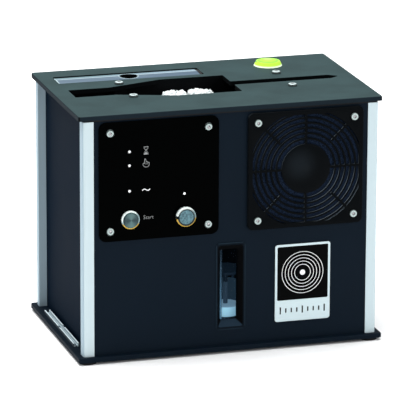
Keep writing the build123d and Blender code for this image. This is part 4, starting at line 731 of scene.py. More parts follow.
@dataclass(frozen=True)
class BezelPaint(BoxFinish):
    """Paint of the window's funnel: a dark frame with a fine bright outline as a painted highlight, a paler
    sill painted as lit, and walls painted near black as shade.
    """

    # The line colour is a painted highlight, the sill colour painted light, and the wall colour painted shade.
    frame_paint: Colour = (0.0016, 0.005, 0.0095)
    wall: Colour = (0.0008, 0.001, 0.0015)
    sill: Colour = (0.012, 0.026, 0.043)
    line: Colour = (0.009, 0.02, 0.031)
    lip_t: float = 1.0 * MM
    line_w: float = 0.7 * MM
    sill_h: float = 12.5 * MM

    def paint(self, sheet: NodeSheet) -> Material:
        """Outline as a painted highlight and frame on the lip, with painted shade on the wall and painted
        light on the sill behind it.

        Args:
            sheet: The empty sheet to paint on.

        Returns:
            The material.
        """
        x, y, z = sheet.axes("XYZ")
        inset_x = self.inset(x, "X")
        inset = sheet.maths("MINIMUM", inset_x, self.inset(z, "Z"))
        grain = sheet.noise(900.0)
        # Painted light on the sill, the funnel's lit floor.
        on_sill = (self.low.z + self.sill_h - z).over(0.0) * (inset_x - (z - self.low.z)).over(-1.0 * MM)
        inner = sheet.mix(self.wall, self.sill, on_sill * (0.75 + 0.5 * grain))
        outer = sheet.mix(self.line, self.frame_paint, inset.over(self.line_w))
        base = sheet.mix(outer, inner, (y - self.low.y).over(self.lip_t))
        return sheet.finish(base, 0.65, 0.06, relief=(grain, 0.05 * MM, 0.7))


@dataclass(frozen=True)
class PaneFilm(Finish):
    """Clear pane with painted glow: its left edge is painted as a strip that gathers light, and the whole pane
    glows faintly.
    """

    left: float
    low: float
    high: float
    strip: float = 3.3 * MM
    glow_low: Colour = (0.05, 0.12, 0.19)
    glow_high: Colour = (0.007, 0.015, 0.026)
    body: Colour = (0.006, 0.012, 0.02)
    alpha: float = 0.03
    edge_alpha: float = 0.8

    def paint(self, sheet: NodeSheet) -> Material:
        """A strip of painted glow that is brighter towards its foot, and a thin, faintly glowing film
        elsewhere.

        Args:
            sheet: The empty sheet to paint on.

        Returns:
            The material.
        """
        x, z = sheet.axes("XZ")
        scuff = sheet.noise(300.0)
        glow = sheet.mix(self.glow_low, self.glow_high, z.ramp(self.low, self.high))
        edge = 1 - (x - self.left).ramp(0.35 * self.strip, self.strip)
        alpha = (self.alpha + edge * (self.edge_alpha - self.alpha)) * (0.9 + 0.2 * scuff)
        base = sheet.mix(self.body, glow, edge)
        # The pane glows in its own colour: painted light.
        return sheet.finish(base, 0.3 + 0.06 * scuff, 0.05, 0.5, Alpha=alpha.held())


@dataclass(frozen=True)
class LitPlastic(Finish):
    """Plastic inside the tank with painted light: it glows, and is painted lighter at the left and darker at
    the right as the light through the water falls, with a painted shade colour on top.
    """

    near: Colour
    far: Colour
    left: float
    right: float
    strength: float
    # Painted shade colour above the given height.
    top: Colour = (0.0, 0.0, 0.0)
    shade_top_from: float = 1.0

    def paint(self, sheet: NodeSheet) -> Material:
        """Painted light: near colour at the left, far colour at the right, and painted shade on top.

        Args:
            sheet: The empty sheet to paint on.

        Returns:
            The material.
        """
        x, z = sheet.axes("XZ")
        cloud = sheet.noise(110.0, rough=0.55)
        on_top = (z - self.shade_top_from).over(0.0)
        base = sheet.mix(self.near, self.far, x.ramp(self.left, self.right))
        base = sheet.layers(base, (self.top, on_top), (tint(self.far, 0.6), 0.3 * cloud))
        # The glow strength makes the plastic glow as painted light.
        return sheet.finish(base, 0.5 + 0.1 * cloud, 0.02, self.strength)


@dataclass(frozen=True)
class LevelShell(BoxFinish):
    """Fluorescent moulding of the level: a white foot line, lime walls and a green upper edge, with a faint
    painted glow.
    """

    wall: Colour = (0.52, 0.84, 0.06)
    top: Colour = (0.28, 0.56, 0.035)
    foot: Colour = (0.82, 0.96, 0.72)
    edge: Colour = (0.04, 0.3, 0.12)
    ring: Colour = (0.08, 0.36, 0.04)
    centre: Colour = (0.34, 0.6, 0.12)
    foot_h: float = 1.5 * MM
    edge_w: float = 0.45 * MM
    top_h: float = 3.0 * MM
    top_r: float = 13.4 * MM
    ring_r: float = 10.4 * MM
    ring_w: float = 0.9 * MM
    centre_r: float = 4.6 * MM
    blur: float = 0.2 * MM

    def paint(self, sheet: NodeSheet) -> Material:
        """Wall with its foot line, then the face with its ring, and the green edge behind.

        Args:
            sheet: The empty sheet to paint on.

        Returns:
            The material.
        """
        local = sheet.moved((self.middle.x, self.middle.y, self.low.z))
        x, y, z = sheet.axes("XYZ", local)
        radius = sheet.reach(x, y)
        high_up = z.over(self.high.z - self.low.z - self.top_h)
        cloud = sheet.noise(160.0, rough=0.5, place=local)
        wall = sheet.mix(self.foot, self.wall, z.ramp(0.7 * self.foot_h, 1.3 * self.foot_h))
        face = sheet.layers(
            self.top,
            (self.centre, radius.near(0.0, 0.6 * self.centre_r, 1.4 * self.centre_r)),
            (self.ring, radius.near(self.ring_r, 0.5 * self.ring_w, self.ring_w) * 0.75),
        )
        rim = radius.near(self.top_r, self.blur, self.blur + self.edge_w)
        base = sheet.layers(
            wall,
            (face, (self.top_r - radius).over(self.blur) * high_up),
            (self.edge, rim * high_up * y.over(-0.1 * self.top_r) * 0.8),
            (self.centre, 0.2 * cloud),
        )
        # A faint painted glow stands for the fluorescent brightness.
        return sheet.finish(base, 0.3 + 0.1 * cloud, 0.1, 0.1)


@dataclass(frozen=True)
class PlateEnamel(Finish):
    """Bare bright plate with a sunk black field."""

    floor_y: float
    silver: Colour = (0.56, 0.67, 0.7)
    black: Colour = (0.001, 0.0012, 0.0013)

    def paint(self, sheet: NodeSheet) -> Material:
        """Brushed metal, and enamel behind the floor's depth.

        Args:
            sheet: The empty sheet to paint on.

        Returns:
            The material.
        """
        (y,) = sheet.axes("Y")
        brushed = sheet.lines((30, 30, 1400))
        sunk = (y - self.floor_y).over(0.0)
        base = sheet.mix(sheet.mix(tint(self.silver, 0.9), self.silver, brushed), self.black, sunk)
        relief, metal = (brushed, 0.01 * MM, 0.3), 0.35 * (1 - sunk)
        return sheet.finish(base, 0.4 + 0.1 * brushed, 0.02, relief=relief, Metallic=metal)


@dataclass(frozen=True)
class Foam(Finish):
    """Open-cell filter foam."""

    deep: Colour
    crest: Colour
    cell: float = 1.3 * MM

    def paint(self, sheet: NodeSheet) -> Material:
        """Dark cells between pale walls.

        Args:
            sheet: The empty sheet to paint on.

        Returns:
            The material.
        """
        fine = sheet.noise(2.2 / self.cell, 2.0)
        share = sheet.cells(1 / self.cell).ramp(0.15, 0.6) * (0.6 + 0.8 * fine)
        base = sheet.mix(self.deep, self.crest, share.held())
        return sheet.finish(base, 0.95, 0.1, relief=(share, 0.5 * self.cell, 0.8))


@dataclass(frozen=True)
class Fleece(Finish):
    """Short-pile microfibre, bright on the tufts, with painted shade in grey between them."""

    shade: Colour
    tip: Colour
    tuft: float = 2.6 * MM

    def paint(self, sheet: NodeSheet) -> Material:
        """Tufts with a fine pile, and painted shade between them.

        Args:
            sheet: The empty sheet to paint on.

        Returns:
            The material.
        """
        pile = sheet.noise(9.0 / self.tuft, 4.0, 0.7)
        # Painted shade: the shade colour fills the hollows between tufts.
        share = (1.15 - sheet.cells(1 / self.tuft) + 0.5 * (pile - 0.5)).held()
        base = sheet.mix(self.shade, self.tip, share)
        relief = (share + 0.6 * pile, 0.5 * MM, 0.9)
        return sheet.finish(base, 0.95, 0.1, relief=relief, Sheen_Weight=0.4, Sheen_Roughness=0.5)


@dataclass(frozen=True)
class Glow(Finish):
    """Tinted liquid or air with a painted glow, as if it shone from inside."""

    colour: Colour
    rim: Colour
    centre: Place
    reach: float
    strength: float

    def paint(self, sheet: NodeSheet) -> Material:
        """Body colour in the middle, rim colour round it.

        Args:
            sheet: The empty sheet to paint on.

        Returns:
            The material.
        """
        local = sheet.moved(self.centre)
        cloud = sheet.noise(120.0, 2.0, 0.5, local)
        radius = sheet.reach(*sheet.axes("XY", local))
        share = radius.ramp(0.55 * self.reach, self.reach) * 0.8 + 0.2 * cloud
        # It glows in its own colours as painted light.
        return sheet.finish(sheet.mix(self.colour, self.rim, share), 0.08 + 0.04 * cloud, 0.5, self.strength)


@dataclass(frozen=True)
class BoardResist(Finish):
    """Printed board: solder resist over tracks, with bright pads."""

    resist: Colour
    track: Colour
    pad: Colour

    def paint(self, sheet: NodeSheet) -> Material:
        """Lanes of tracks and dots of solder.

        Args:
            sheet: The empty sheet to paint on.

        Returns:
            The material.
        """
        inputs = {"Vector": sheet.place, "Scale": 90.0, "Mortar Size": 0.06}
        lanes = sheet.node("TexBrick", "Fac", inputs, offset=0.37, squash=0.6, squash_frequency=3)
        dots = sheet.cells(260.0).ramp(0.22, 0.16)
        base = sheet.mix(sheet.mix(self.resist, self.track, lanes), self.pad, dots)
        relief = (lanes + dots, 0.05 * MM, 0.6)
        return sheet.finish(base, 0.35 - 0.1 * dots, 0.5, relief=relief, Metallic=0.8 * dots)


# ------------------------------------------------------------------ bench: modelling by hand


class Bench:
    """Hand tools for one piece at a time."""

    @staticmethod
    def clear() -> None:
        """Deselect everything."""
        if bpy.context.mode != "OBJECT":
            bpy.ops.object.mode_set(mode="OBJECT")
        bpy.ops.object.select_all(action="DESELECT")

    @staticmethod
    def take(piece: Piece) -> None:
        """Make one piece the only selected and active one.

        Args:
            piece: The piece to work on.
        """
        Bench.clear()
        piece.select_set(True)
        bpy.context.view_layer.objects.active = piece

    @staticmethod
    def lay(name: str, data: bpy.types.ID) -> Piece:
        """Put a new object with this data on the bench.

        Args:
            name: The object's name.
            data: Its mesh, curve, light or camera.

        Returns:
            The object.
        """
        piece = bpy.data.objects.new(name, data)
        bpy.context.collection.objects.link(piece)
        return piece

    @staticmethod
    def named(name: str) -> Piece:
        """Name the active piece, and put its place, turn and scale into its mesh.

        Args:
            name: The name of the piece and of its mesh.

        Returns:
            The piece.
        """
        piece = bpy.context.active_object
        piece.name = name
        piece.data.name = name
        Bench.take(piece)
        bpy.ops.object.transform_apply(location=True, rotation=True, scale=True)
        return piece

    @staticmethod
    def add(primitive: Callable[..., Any], name: str, **settings: Any) -> Piece:
        """Add a primitive and name it.

        Args:
            primitive: The operator that adds it.
            name: The piece's name.
            settings: The operator's own settings.

        Returns:
            The piece.
        """
        Bench.clear()
        primitive(**settings)
        return Bench.named(name)

    @staticmethod
    def edit(piece: Piece, *steps: Callable[[], Any]) -> None:
        """Run steps in edit mode, where all of the piece is selected at first.

        Args:
            piece: The piece to edit.
            steps: Edits, in order.
        """
        Bench.take(piece)
        bpy.ops.object.mode_set(mode="EDIT")
        bpy.ops.mesh.select_all(action="SELECT")
        for step in steps:
            step()
        bpy.ops.object.mode_set(mode="OBJECT")

    @staticmethod
    def apply(piece: Piece, kind: str, **settings: Any) -> None:
        """Add a modifier with these settings and apply it.

        Args:
            piece: The piece to change.
            kind: The modifier's type.
            settings: The modifier's own settings.
        """
        Bench.take(piece)
        modifier = piece.modifiers.new(kind.lower(), kind)
        for key, value in settings.items():
            setattr(modifier, key, value)
        bpy.ops.object.modifier_apply(modifier=modifier.name)

    @staticmethod
    def clean(piece: Piece, merge: float = 0.001 * MM) -> None:
        """Merge doubles and turn every face outwards.

        Args:
            piece: The piece to clean.
            merge: How near two points are merged.
        """
        Bench.edit(
            piece,
            lambda: bpy.ops.mesh.remove_doubles(threshold=merge),
            lambda: bpy.ops.mesh.normals_make_consistent(inside=False),
        )

    @staticmethod
    def smooth(piece: Piece, degrees: float = 40.0) -> None:
        """Shade smooth, with edges sharper than the angle kept."""
        Bench.take(piece)
        bpy.ops.object.shade_smooth_by_angle(angle=math.radians(degrees))

    @staticmethod
    def join(name: str, pieces: Sequence[Piece]) -> Piece:
        """Join pieces into one with this name.

        Args:
            name: The name of the whole.
            pieces: The pieces, which become one.

        Returns:
            The whole.
        """
        Bench.take(pieces[0])
        for piece in pieces:
            piece.select_set(True)
        if len(pieces) > 1:
            bpy.ops.object.join()
        return Bench.named(name)

    @staticmethod
    def move_points(piece: Piece, move: Callable[[Vector], Vector]) -> None:
        """Move every point of a mesh.

        Args:
            piece: The piece whose points move.
            move: Gives a point's new place from its old one.
        """
        for vertex in piece.data.vertices:
            vertex.co = move(vertex.co)
        piece.data.update()

    @staticmethod
    def flatten(piece: Piece, level: float, share: float) -> None:
        """Press the depth of a piece towards a level."""
        Bench.move_points(piece, lambda p: Vector((p.x, level + (p.y - level) * share, p.z)))


def wear(piece: Piece, material: Material) -> None:
    """Give a piece one material all over.

    Args:
        piece: The piece or node.
        material: Its material.
    """
    if not piece.data.materials:
        piece.data.materials.append(material)
    for slot in piece.material_slots:
        slot.material = material


def fit(piece: Piece, body: str, material: Material) -> None:
    """Finish a new piece: its material and the body it rides on.

    Args:
        piece: The new piece.
        body: The body's name.
        material: Its material.
    """
    wear(piece, material)
    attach(piece, body)
    LOG.info("%s rides on %s", piece.name, body)


def middle(node: str) -> Vector:
    """Middle of a node's box."""
    low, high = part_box(node)
    return (low + high) / 2


# ------------------------------------------------------------------ sub-assemblies


@dataclass
class Case:
    """Base, posts, panels and top plate."""

    panel: PowderCoat = PowderCoat("case_paint", (0.002, 0.0062, 0.0122), 0.62, 0.06)
    # The side and chamber paints are copies of the case paint painted darker as shade: the sides less glossy,
    # the chamber's inside near black.
    side: PowderCoat = PowderCoat("side_paint", (0.0012, 0.0058, 0.0136), 0.7, 0.02)
    inner: PowderCoat = PowderCoat("chamber_paint", (0.0015, 0.002, 0.0025), 0.6, 0.04)

    def dress(self) -> None:
        """Finish the nodes of the case."""
        self.panel.on("base_plate", "front_panel", "rear_panel")
        self.side.on("left_side_panel", "right_side_panel")
        self.inner.on("wash_trough", "front_splash_wall", "rear_splash_wall")
        PlateCoat("top_paint", *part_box("top_plate")).on("top_plate")
        PostMetal("satin_aluminium", *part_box("corner_posts")).on("corner_posts")
        RailMetal("rail_aluminium", *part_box("base_rails")).on("base_rails")


class Mark(Enum):
    """Signs printed on the control plate."""

    DRY = "hourglass"
    HAND = "hand"
    MAINS = "mains"
    START = "start_label"


@dataclass
class Controls:
    """Control plate with its prints, lamps, start button and selector.

    Each mark has its place across and up from the plate's middle, and its width.
    """

    plate: Lacquer = Lacquer("control_plate_gloss", (0.0002, 0.0003, 0.0003), 0.2, 0.006)
    ink: Moulding = Moulding("print_grey", (0.3, 0.31, 0.31), 0.6)
    print_t: float = 0.06 * MM
    line: float = 0.55 * MM
    cap_r: float = 8.7 * MM
    ring_r: float = 10.0 * MM
    # Radius where the painted warm reflection begins on the start ring.
    ring_warm_reflection_r: float = 8.9 * MM
    knob_face_r: float = 8.5 * MM
    knob_r: float = 10.8 * MM
    # Radius where the painted warm reflection begins on the knob.
    knob_warm_reflection_r: float = 9.7 * MM
    knob_groove_r: float = 9.6 * MM
    knob_notch: float = 1.7 * MM
    # Depth of the knob's rim that stays lit before its painted shadow gap.
    knob_lit_depth: float = 3.8 * MM
    screw_head_r: float = 4.2 * MM
    screw_socket_r: float = 1.6 * MM
    screw_pitch: tuple[float, float] = (109.0 * MM, 107.4 * MM)
    fan_screw_pitch: float = 108.7 * MM
    marks: Mapping[Mark, Place] = field(
        default_factory=lambda: {
            Mark.DRY: (-14.7 * MM, 32.6 * MM, 5.2 * MM),
            Mark.HAND: (-14.6 * MM, 18.9 * MM, 8.0 * MM),
            Mark.MAINS: (-14.6 * MM, -10.7 * MM, 8.6 * MM),
            Mark.START: (-12.0 * MM, -41.2 * MM, 11.0 * MM),
        }
    )

    def stroke(self, points: Points, size: tuple[float, float], weight: float, smooth: bool = False) -> Piece:
        """One drawn line, flat on the plate, closed where it ends at its start.

        Args:
            points: Its corners, across and up.
            size: What one unit of the corners stands for, across and up.
            weight: Its thickness, in lines.
            smooth: Whether its corners are rounded.

        Returns:
            The line as a mesh.
        """
        width = weight * self.line
        closed = points[0] == points[-1]
        corners = points[:-1] if closed else points
        curve = bpy.data.curves.new("stroke", "CURVE")
        curve.dimensions = "3D"
        curve.bevel_depth = width / 2
        curve.bevel_resolution = 2
        curve.use_fill_caps = True
        curve.resolution_u = 6
        spline = curve.splines.new("NURBS" if smooth else "POLY")
        spline.points.add(len(corners) - 1)
        for point, (across, up) in zip(spline.points, corners):
            point.co = (across * size[0], 0.0, up * size[1], 1.0)
        spline.use_cyclic_u = closed
        if smooth:
            spline.order_u = 3
            spline.use_endpoint_u = not closed
        Bench.take(Bench.lay("stroke", curve))
        bpy.ops.object.convert(target="MESH")
        piece = Bench.named("stroke")
        Bench.flatten(piece, 0.0, self.print_t / width)
        return piece

    def hourglass(self, width: float) -> list[Piece]:
        """Two caps, the waisted glass between them and the sand that runs to its bottom.

        Args:
            width: The mark's width in metres.

        Returns:
            The mark's strokes.
        """
        size = (width / 2, 0.78 * width)
        glass = [(0.8, 1.0), (0.8, 0.62), (0.14, 0.0), (0.8, -0.62), (0.8, -1.0)]
        lines = [([(-1.0, side), (1.0, side)], 1.2) for side in (-1, 1)]
        lines += [([(side * across, up) for across, up in glass], 0.8) for side in (-1, 1)]
        sand = ((0.63, -0.82), (0.385, -0.62), (0.175, -0.45))
        lines += [([(-half, up), (half, up)], 1.5) for half, up in sand]
        lines += [([(0.0, 0.4), (0.0, 0.1)], 1.3)]
        return [self.stroke(points, size, weight) for points, weight in lines]

    def hand(self, width: float) -> list[Piece]:
        """Outline of a hand that points up, with three knuckle lines.

        Args:
            width: The mark's width in metres.

        Returns:
            The mark's strokes.
        """
        size = (width, width)
        outline = [
            (-0.26, -0.56), (-0.46, -0.2), (-0.44, -0.02), (-0.3, -0.02), (-0.2, -0.12), (-0.24, 0.46),
            (-0.15, 0.6), (-0.05, 0.5), (0.0, 0.16), (0.12, 0.2), (0.22, 0.1), (0.34, 0.1), (0.44, -0.02),
            (0.42, -0.3), (0.24, -0.56), (-0.26, -0.56),
        ]
        pieces = [self.stroke(outline, size, 0.9, smooth=True)]
        return pieces + [self.stroke([(x, 0.06), (x, -0.2)], size, 0.6) for x in (-0.04, 0.1, 0.24)]

    def mains(self, width: float) -> list[Piece]:
        """One wave of alternating current.

        Args:
            width: The mark's width in metres.

        Returns:
            The mark's strokes.
        """
        half = [(0.16, -0.1), (0.38, -0.07), (0.5, 0.1)]
        wave = [*((-x, -y) for x, y in reversed(half)), (0.0, 0.0), *half]
        return [self.stroke(wave, (width, width), 1.7, smooth=True)]

    def start(self, width: float) -> list[Piece]:
        """The word beside the push button.

        Args:
            width: The mark's width in metres.

        Returns:
            The mark's strokes.
        """
        Bench.clear()
        bpy.ops.object.text_add(rotation=(math.pi / 2, 0, 0))
        words = bpy.context.active_object
        words.data.body = "Start"
        words.data.align_x = "CENTER"
        words.data.resolution_u = 3
        words.data.offset = -0.012
        bpy.context.view_layer.update()
        words.scale = (width / words.dimensions.x,) * 3
        bpy.ops.object.convert(target="MESH")
        piece = Bench.named("words")
        Bench.apply(piece, "SOLIDIFY", thickness=self.print_t, offset=0.0)
        return [piece]

    def build(self, white: Material) -> None:
        """Make the printed marks.

        Args:
            white: The ink of the brightest mark.
        """
        grey = self.ink.make()
        plate = middle("control_plate")
        plate.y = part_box("control_plate")[0].y
        for mark, shape in zip(Mark, (self.hourglass, self.hand, self.mains, self.start)):
            across, up, width = self.marks[mark]
            piece = Bench.join(f"print_{mark.value}", shape(width))
            points = [vertex.co for vertex in piece.data.vertices]
            centre = (Vector(map(min, *points)) + Vector(map(max, *points))) / 2
            shift = plate + Vector((across, 0, up)) - centre
            Bench.move_points(piece, lambda point: point + shift)
            Bench.clean(piece)
            fit(piece, HOUSING, white if mark is Mark.MAINS else grey)

    def dress(self) -> None:
        """Finish the plate, the button, the selector and the screws."""
        self.plate.on("control_plate")
        # The cap's upright band, the rims' white and brass, and the knob's dark band near the plate are
        # painted highlight, warm reflection and shade.
        cap = {"highlight_streak": 0.75, "mottle": 0.1, "dark": (0.005, 0.018, 0.026), "light": (0.09, 0.165, 0.165)}
        knob = {
            "highlight_streak": 0.05, "mottle": 0.9, "outline": 1.0, "groove_r": self.knob_groove_r,
            "notch": self.knob_notch, "warm_reflection_from": 0.0, "warm_reflection_r": self.knob_warm_reflection_r,
            "dark": (0.008, 0.022, 0.032), "light": (0.12, 0.245, 0.285),
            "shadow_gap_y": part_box("selector_knob")[0].y + self.knob_lit_depth,
        }
        ring = {**cap, "warm_reflection_from": 0.3, "warm_reflection_r": self.ring_warm_reflection_r}
        for node, name, disc_r, reach, looks in (
            ("start_switch", "start_ring", self.cap_r, self.ring_r, ring),
            ("start_button", "start_cap", self.cap_r, self.ring_r, cap),
            ("selector_knob", "selector_knob", self.knob_face_r, self.knob_r, knob),
            ("selector_switch", "selector_base", 0.0, self.ring_r, {}),
        ):
            centre = middle(node)
            TurnedFace(name, (centre.x, 0.0, centre.z), disc_r, reach, **looks).on(node)
        plate, fan = middle("control_plate"), middle("front_fan_grille")
        across, up, round_fan = (pitch / 2 for pitch in (*self.screw_pitch, self.fan_screw_pitch))
        centres = ((plate.x, plate.z, across, up), (fan.x, fan.z, round_fan, round_fan))
        sizes = self.screw_head_r, self.screw_socket_r
        ScrewSteel("panel_screw_steel", "XZ", centres, *sizes).on("panel_screws")


@dataclass
class FanGuards:
    """Fan grilles with rounded ribs, and the foam behind them."""

    mat: Foam = Foam("guard_foam", (0.0008, 0.002, 0.005), (0.0065, 0.014, 0.032))
    mat_t: float = 2.1 * MM
    rib_round: float = 0.55 * MM
    mouth_half: float = 60.0 * MM
    mouth_r: float = 65.0 * MM
    edge_gap: float = 0.4 * MM
    rows: int = 84
    cell_depth: float = 0.35 * MM
    cells: tuple[float, float] = (700.0, 1500.0)

    def guard(self, node: str, name: str) -> Piece:
        """A grille like the node's, its edges rounded.

        Args:
            node: The grille's node.
            name: The new piece's name.

        Returns:
            The guard.
        """
        data = frame["nodes"][node].data.copy()
        data.name = name
        piece = Bench.lay(name, data)
        Bench.clean(piece, 0.005 * MM)
        Bench.apply(
            piece, "BEVEL", width=self.rib_round, segments=2, limit_method="ANGLE",
            angle_limit=math.radians(50), use_clamp_overlap=True,
        )
        Bench.smooth(piece, 45.0)
        return piece

    def foam_sheet(self, name: str, low: Vector, high: Vector) -> Piece:
        """A foam mat cut to the grille's mouth, its face broken into cells.

        Args:
            name: The mat's name.
            low: Lowest corner of its room.
            high: Highest corner of its room.

        Returns:
            The mat.
        """
        centre = (low + high) / 2

        def to_mouth(point: Vector) -> Vector:
            """Place of a grid point on the mat.

            Args:
                point: A point of the flat grid, from -1 to 1.

            Returns:
                Its place on the mat.
            """
            length = math.hypot(point.x, point.y)
            if length < 1e-9:
                return centre.copy()
            across, up = point.x / length, point.y / length
            edge = min(self.mouth_r, self.mouth_half / max(abs(across), abs(up))) - self.edge_gap
            reach = max(abs(point.x), abs(point.y)) * edge
            return centre + Vector((across * reach, 0, up * reach))

        def to_cells(point: Vector) -> Vector:
            """A point pushed in by the foam's cells."""
            dent = self.cell_depth * max(0.0, sum(noise.noise(point * scale) for scale in self.cells))
            return point + Vector((0, -dent if point.y > centre.y else dent, 0))

        grid = {"x_subdivisions": self.rows, "y_subdivisions": self.rows, "size": 2.0}
        piece = Bench.add(bpy.ops.mesh.primitive_grid_add, name, **grid)
        Bench.move_points(piece, to_mouth)
        Bench.apply(piece, "SOLIDIFY", thickness=high.y - low.y, offset=0.0)
        Bench.clean(piece)
        Bench.move_points(piece, to_cells)
        Bench.smooth(piece, 60.0)
        return piece

    def build(self) -> None:
        """Make both guards and both mats."""
        hub = middle("front_fan_grille")
        plastic, foam = GuardPlastic("guard_plastic", (hub.x, 0.0, hub.z)).make(), self.mat.make()
        low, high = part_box("filter_mats")
        mats = []
        for side, front in (("front", low.y), ("rear", high.y - self.mat_t)):
            piece = self.guard(f"{side}_fan_grille", f"{side}_guard")
            fit(piece, HOUSING, plastic)
            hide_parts(f"{side}_fan_grille")
            corners = Vector((low.x, front, low.z)), Vector((high.x, front + self.mat_t, high.z))
            mats.append(self.foam_sheet(f"{side}_foam_mat", *corners))
            fit(mats[-1], HOUSING, foam)
        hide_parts("filter_mats")


@dataclass
class Rollers:
    """Fleece sleeves of the four rollers."""

    pile: Fleece = Fleece("roller_fleece", (0.15, 0.2, 0.22), (0.9, 0.94, 0.93))
    radius: float = 14.0 * MM
    bore: float = 4.0 * MM
    cap: float = 5.0 * MM
    round_r: float = 5.0 * MM
    tuft: float = 3.0 * MM
    tuft_rise: float = 0.3 * MM
    tuft_slope: float = 1.3
    lock: tuple[float, float] = (0.33, 0.5)
    fibre: tuple[float, float] = (2.6, 0.4)
    pile_depth: float = 2.8 * MM
    spread: float = 1.8 * MM
    turns: int = 84
    rows: int = 96
    crown_rows: int = 7
    seed_step: float = 3.7

    def outline(self, low: float, high: float) -> list[tuple[float, float]]:
        """Half of a sleeve's section, outwards and up, from its crown down and up into its bore.

        Args:
            low: The sleeve's foot.
            high: The sleeve's top.

        Returns:
            Points as radius and height, from the crown's middle round to the bore's.
        """
        start, side = self.radius - self.round_r, self.radius
        turns = [math.radians(90 - 15 * step) for step in range(1, 7)]
        bend = [(start + self.round_r * math.cos(t), high + self.round_r * (math.sin(t) - 1)) for t in turns]
        bore = [(self.bore, low), (self.bore, high - self.cap), (0.0, high - self.cap)]
        return [(0.0, high), (start, high), *bend, (side, low), *bore]

    def sleeve(self, node: str, name: str, seed: float) -> Piece:
        """One sleeve: its outline spun round the spindle and its pile raised into tufts.

        Args:
            node: The plain sleeve's node.
            name: The new piece's name.
            seed: Shift of the pile's pattern, so that no two sleeves are alike.

        Returns:
            The sleeve.
        """
        low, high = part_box(node)
        x, y = (low.x + high.x) / 2, (low.y + high.y) / 2
        points = [(x + r, y, z) for r, z in self.outline(low.z, high.z)]
        mesh = bpy.data.meshes.new(name)
        mesh.from_pydata(points, [(i, i + 1) for i in range(len(points) - 1)], [])
        piece = Bench.lay(name, mesh)
        top = high.z - self.round_r
        side = 0.8 * (top - low.z)
        Bench.edit(
            piece,
            lambda: self.divide(piece, lambda a, b: abs(a.z - b.z) > side and a.x == b.x, self.rows),
            lambda: self.divide(piece, lambda a, b: abs(a.z - b.z) < 1e-6 and a.z > top, self.crown_rows),
            lambda: bpy.ops.mesh.select_all(action="SELECT"),
            lambda: bpy.ops.mesh.spin(steps=self.turns, angle=2 * math.pi, center=(x, y, 0), axis=(0, 0, 1)),
        )
        Bench.clean(piece, 0.01 * MM)

        def to_pile(point: Vector) -> Vector:
            """A point raised with its tuft, or left down between two.

            Args:
                point: A point of the spun sleeve.

            Returns:
                Its place in the pile.
            """
            out = Vector((point.x - x, point.y - y, 0))
            if out.length < self.bore + MM and point.z < high.z - 0.5 * self.cap:
                return point
            spot = Vector((point.x, point.y, point.z + seed)) / self.tuft
            tuft = max(0.0, 1.0 - self.tuft_slope * noise.voronoi(spot)[0][0])
            lock, fibre = (share * noise.noise(spot * scale) for scale, share in (self.lock, self.fibre))
            push = self.pile_depth * (tuft + lock + fibre) - (self.pile_depth - self.tuft_rise)
            lean = out.normalized() if out.length > 1e-6 else Vector((0, 0, 0))
            crown = min(1.0, max(0.0, (point.z - high.z + self.round_r) / self.round_r))
            spread = self.spread * max(0.0, 1.0 - (high.z - point.z) / (3 * self.round_r))
            return point + lean * (push + spread) * (1 - 0.5 * crown) + Vector((0, 0, crown * push))

        Bench.move_points(piece, to_pile)
        Bench.smooth(piece, 80.0)
        return piece

    @staticmethod
    def divide(piece: Piece, test: Callable[[Vector, Vector], bool], cuts: int) -> None:
        """Cut up the edges whose two ends pass a test.

        Args:
            piece: The piece, in edit mode.
            test: Says of two ends whether their edge is cut.
            cuts: How many cuts each such edge gets.
        """
        bpy.context.tool_settings.mesh_select_mode = (False, True, False)
        bpy.ops.mesh.select_all(action="DESELECT")
        work = bmesh.from_edit_mesh(piece.data)
        for edge in work.edges:
            edge.select_set(test(*(vertex.co for vertex in edge.verts)))
        bmesh.update_edit_mesh(piece.data)
        bpy.ops.mesh.subdivide(number_cuts=cuts)

    def build(self) -> None:
        """Make the four sleeves."""
        fleece = self.pile.make()
        seed = 0.0
        for place in ("rear_left", "rear_right", "front_left", "front_right"):
            piece = self.sleeve(f"{place}_sleeve", f"{place}_fleece", seed)
            fit(piece, f"{place}_roller", fleece)
            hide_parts(f"{place}_sleeve")
            seed += self.seed_step


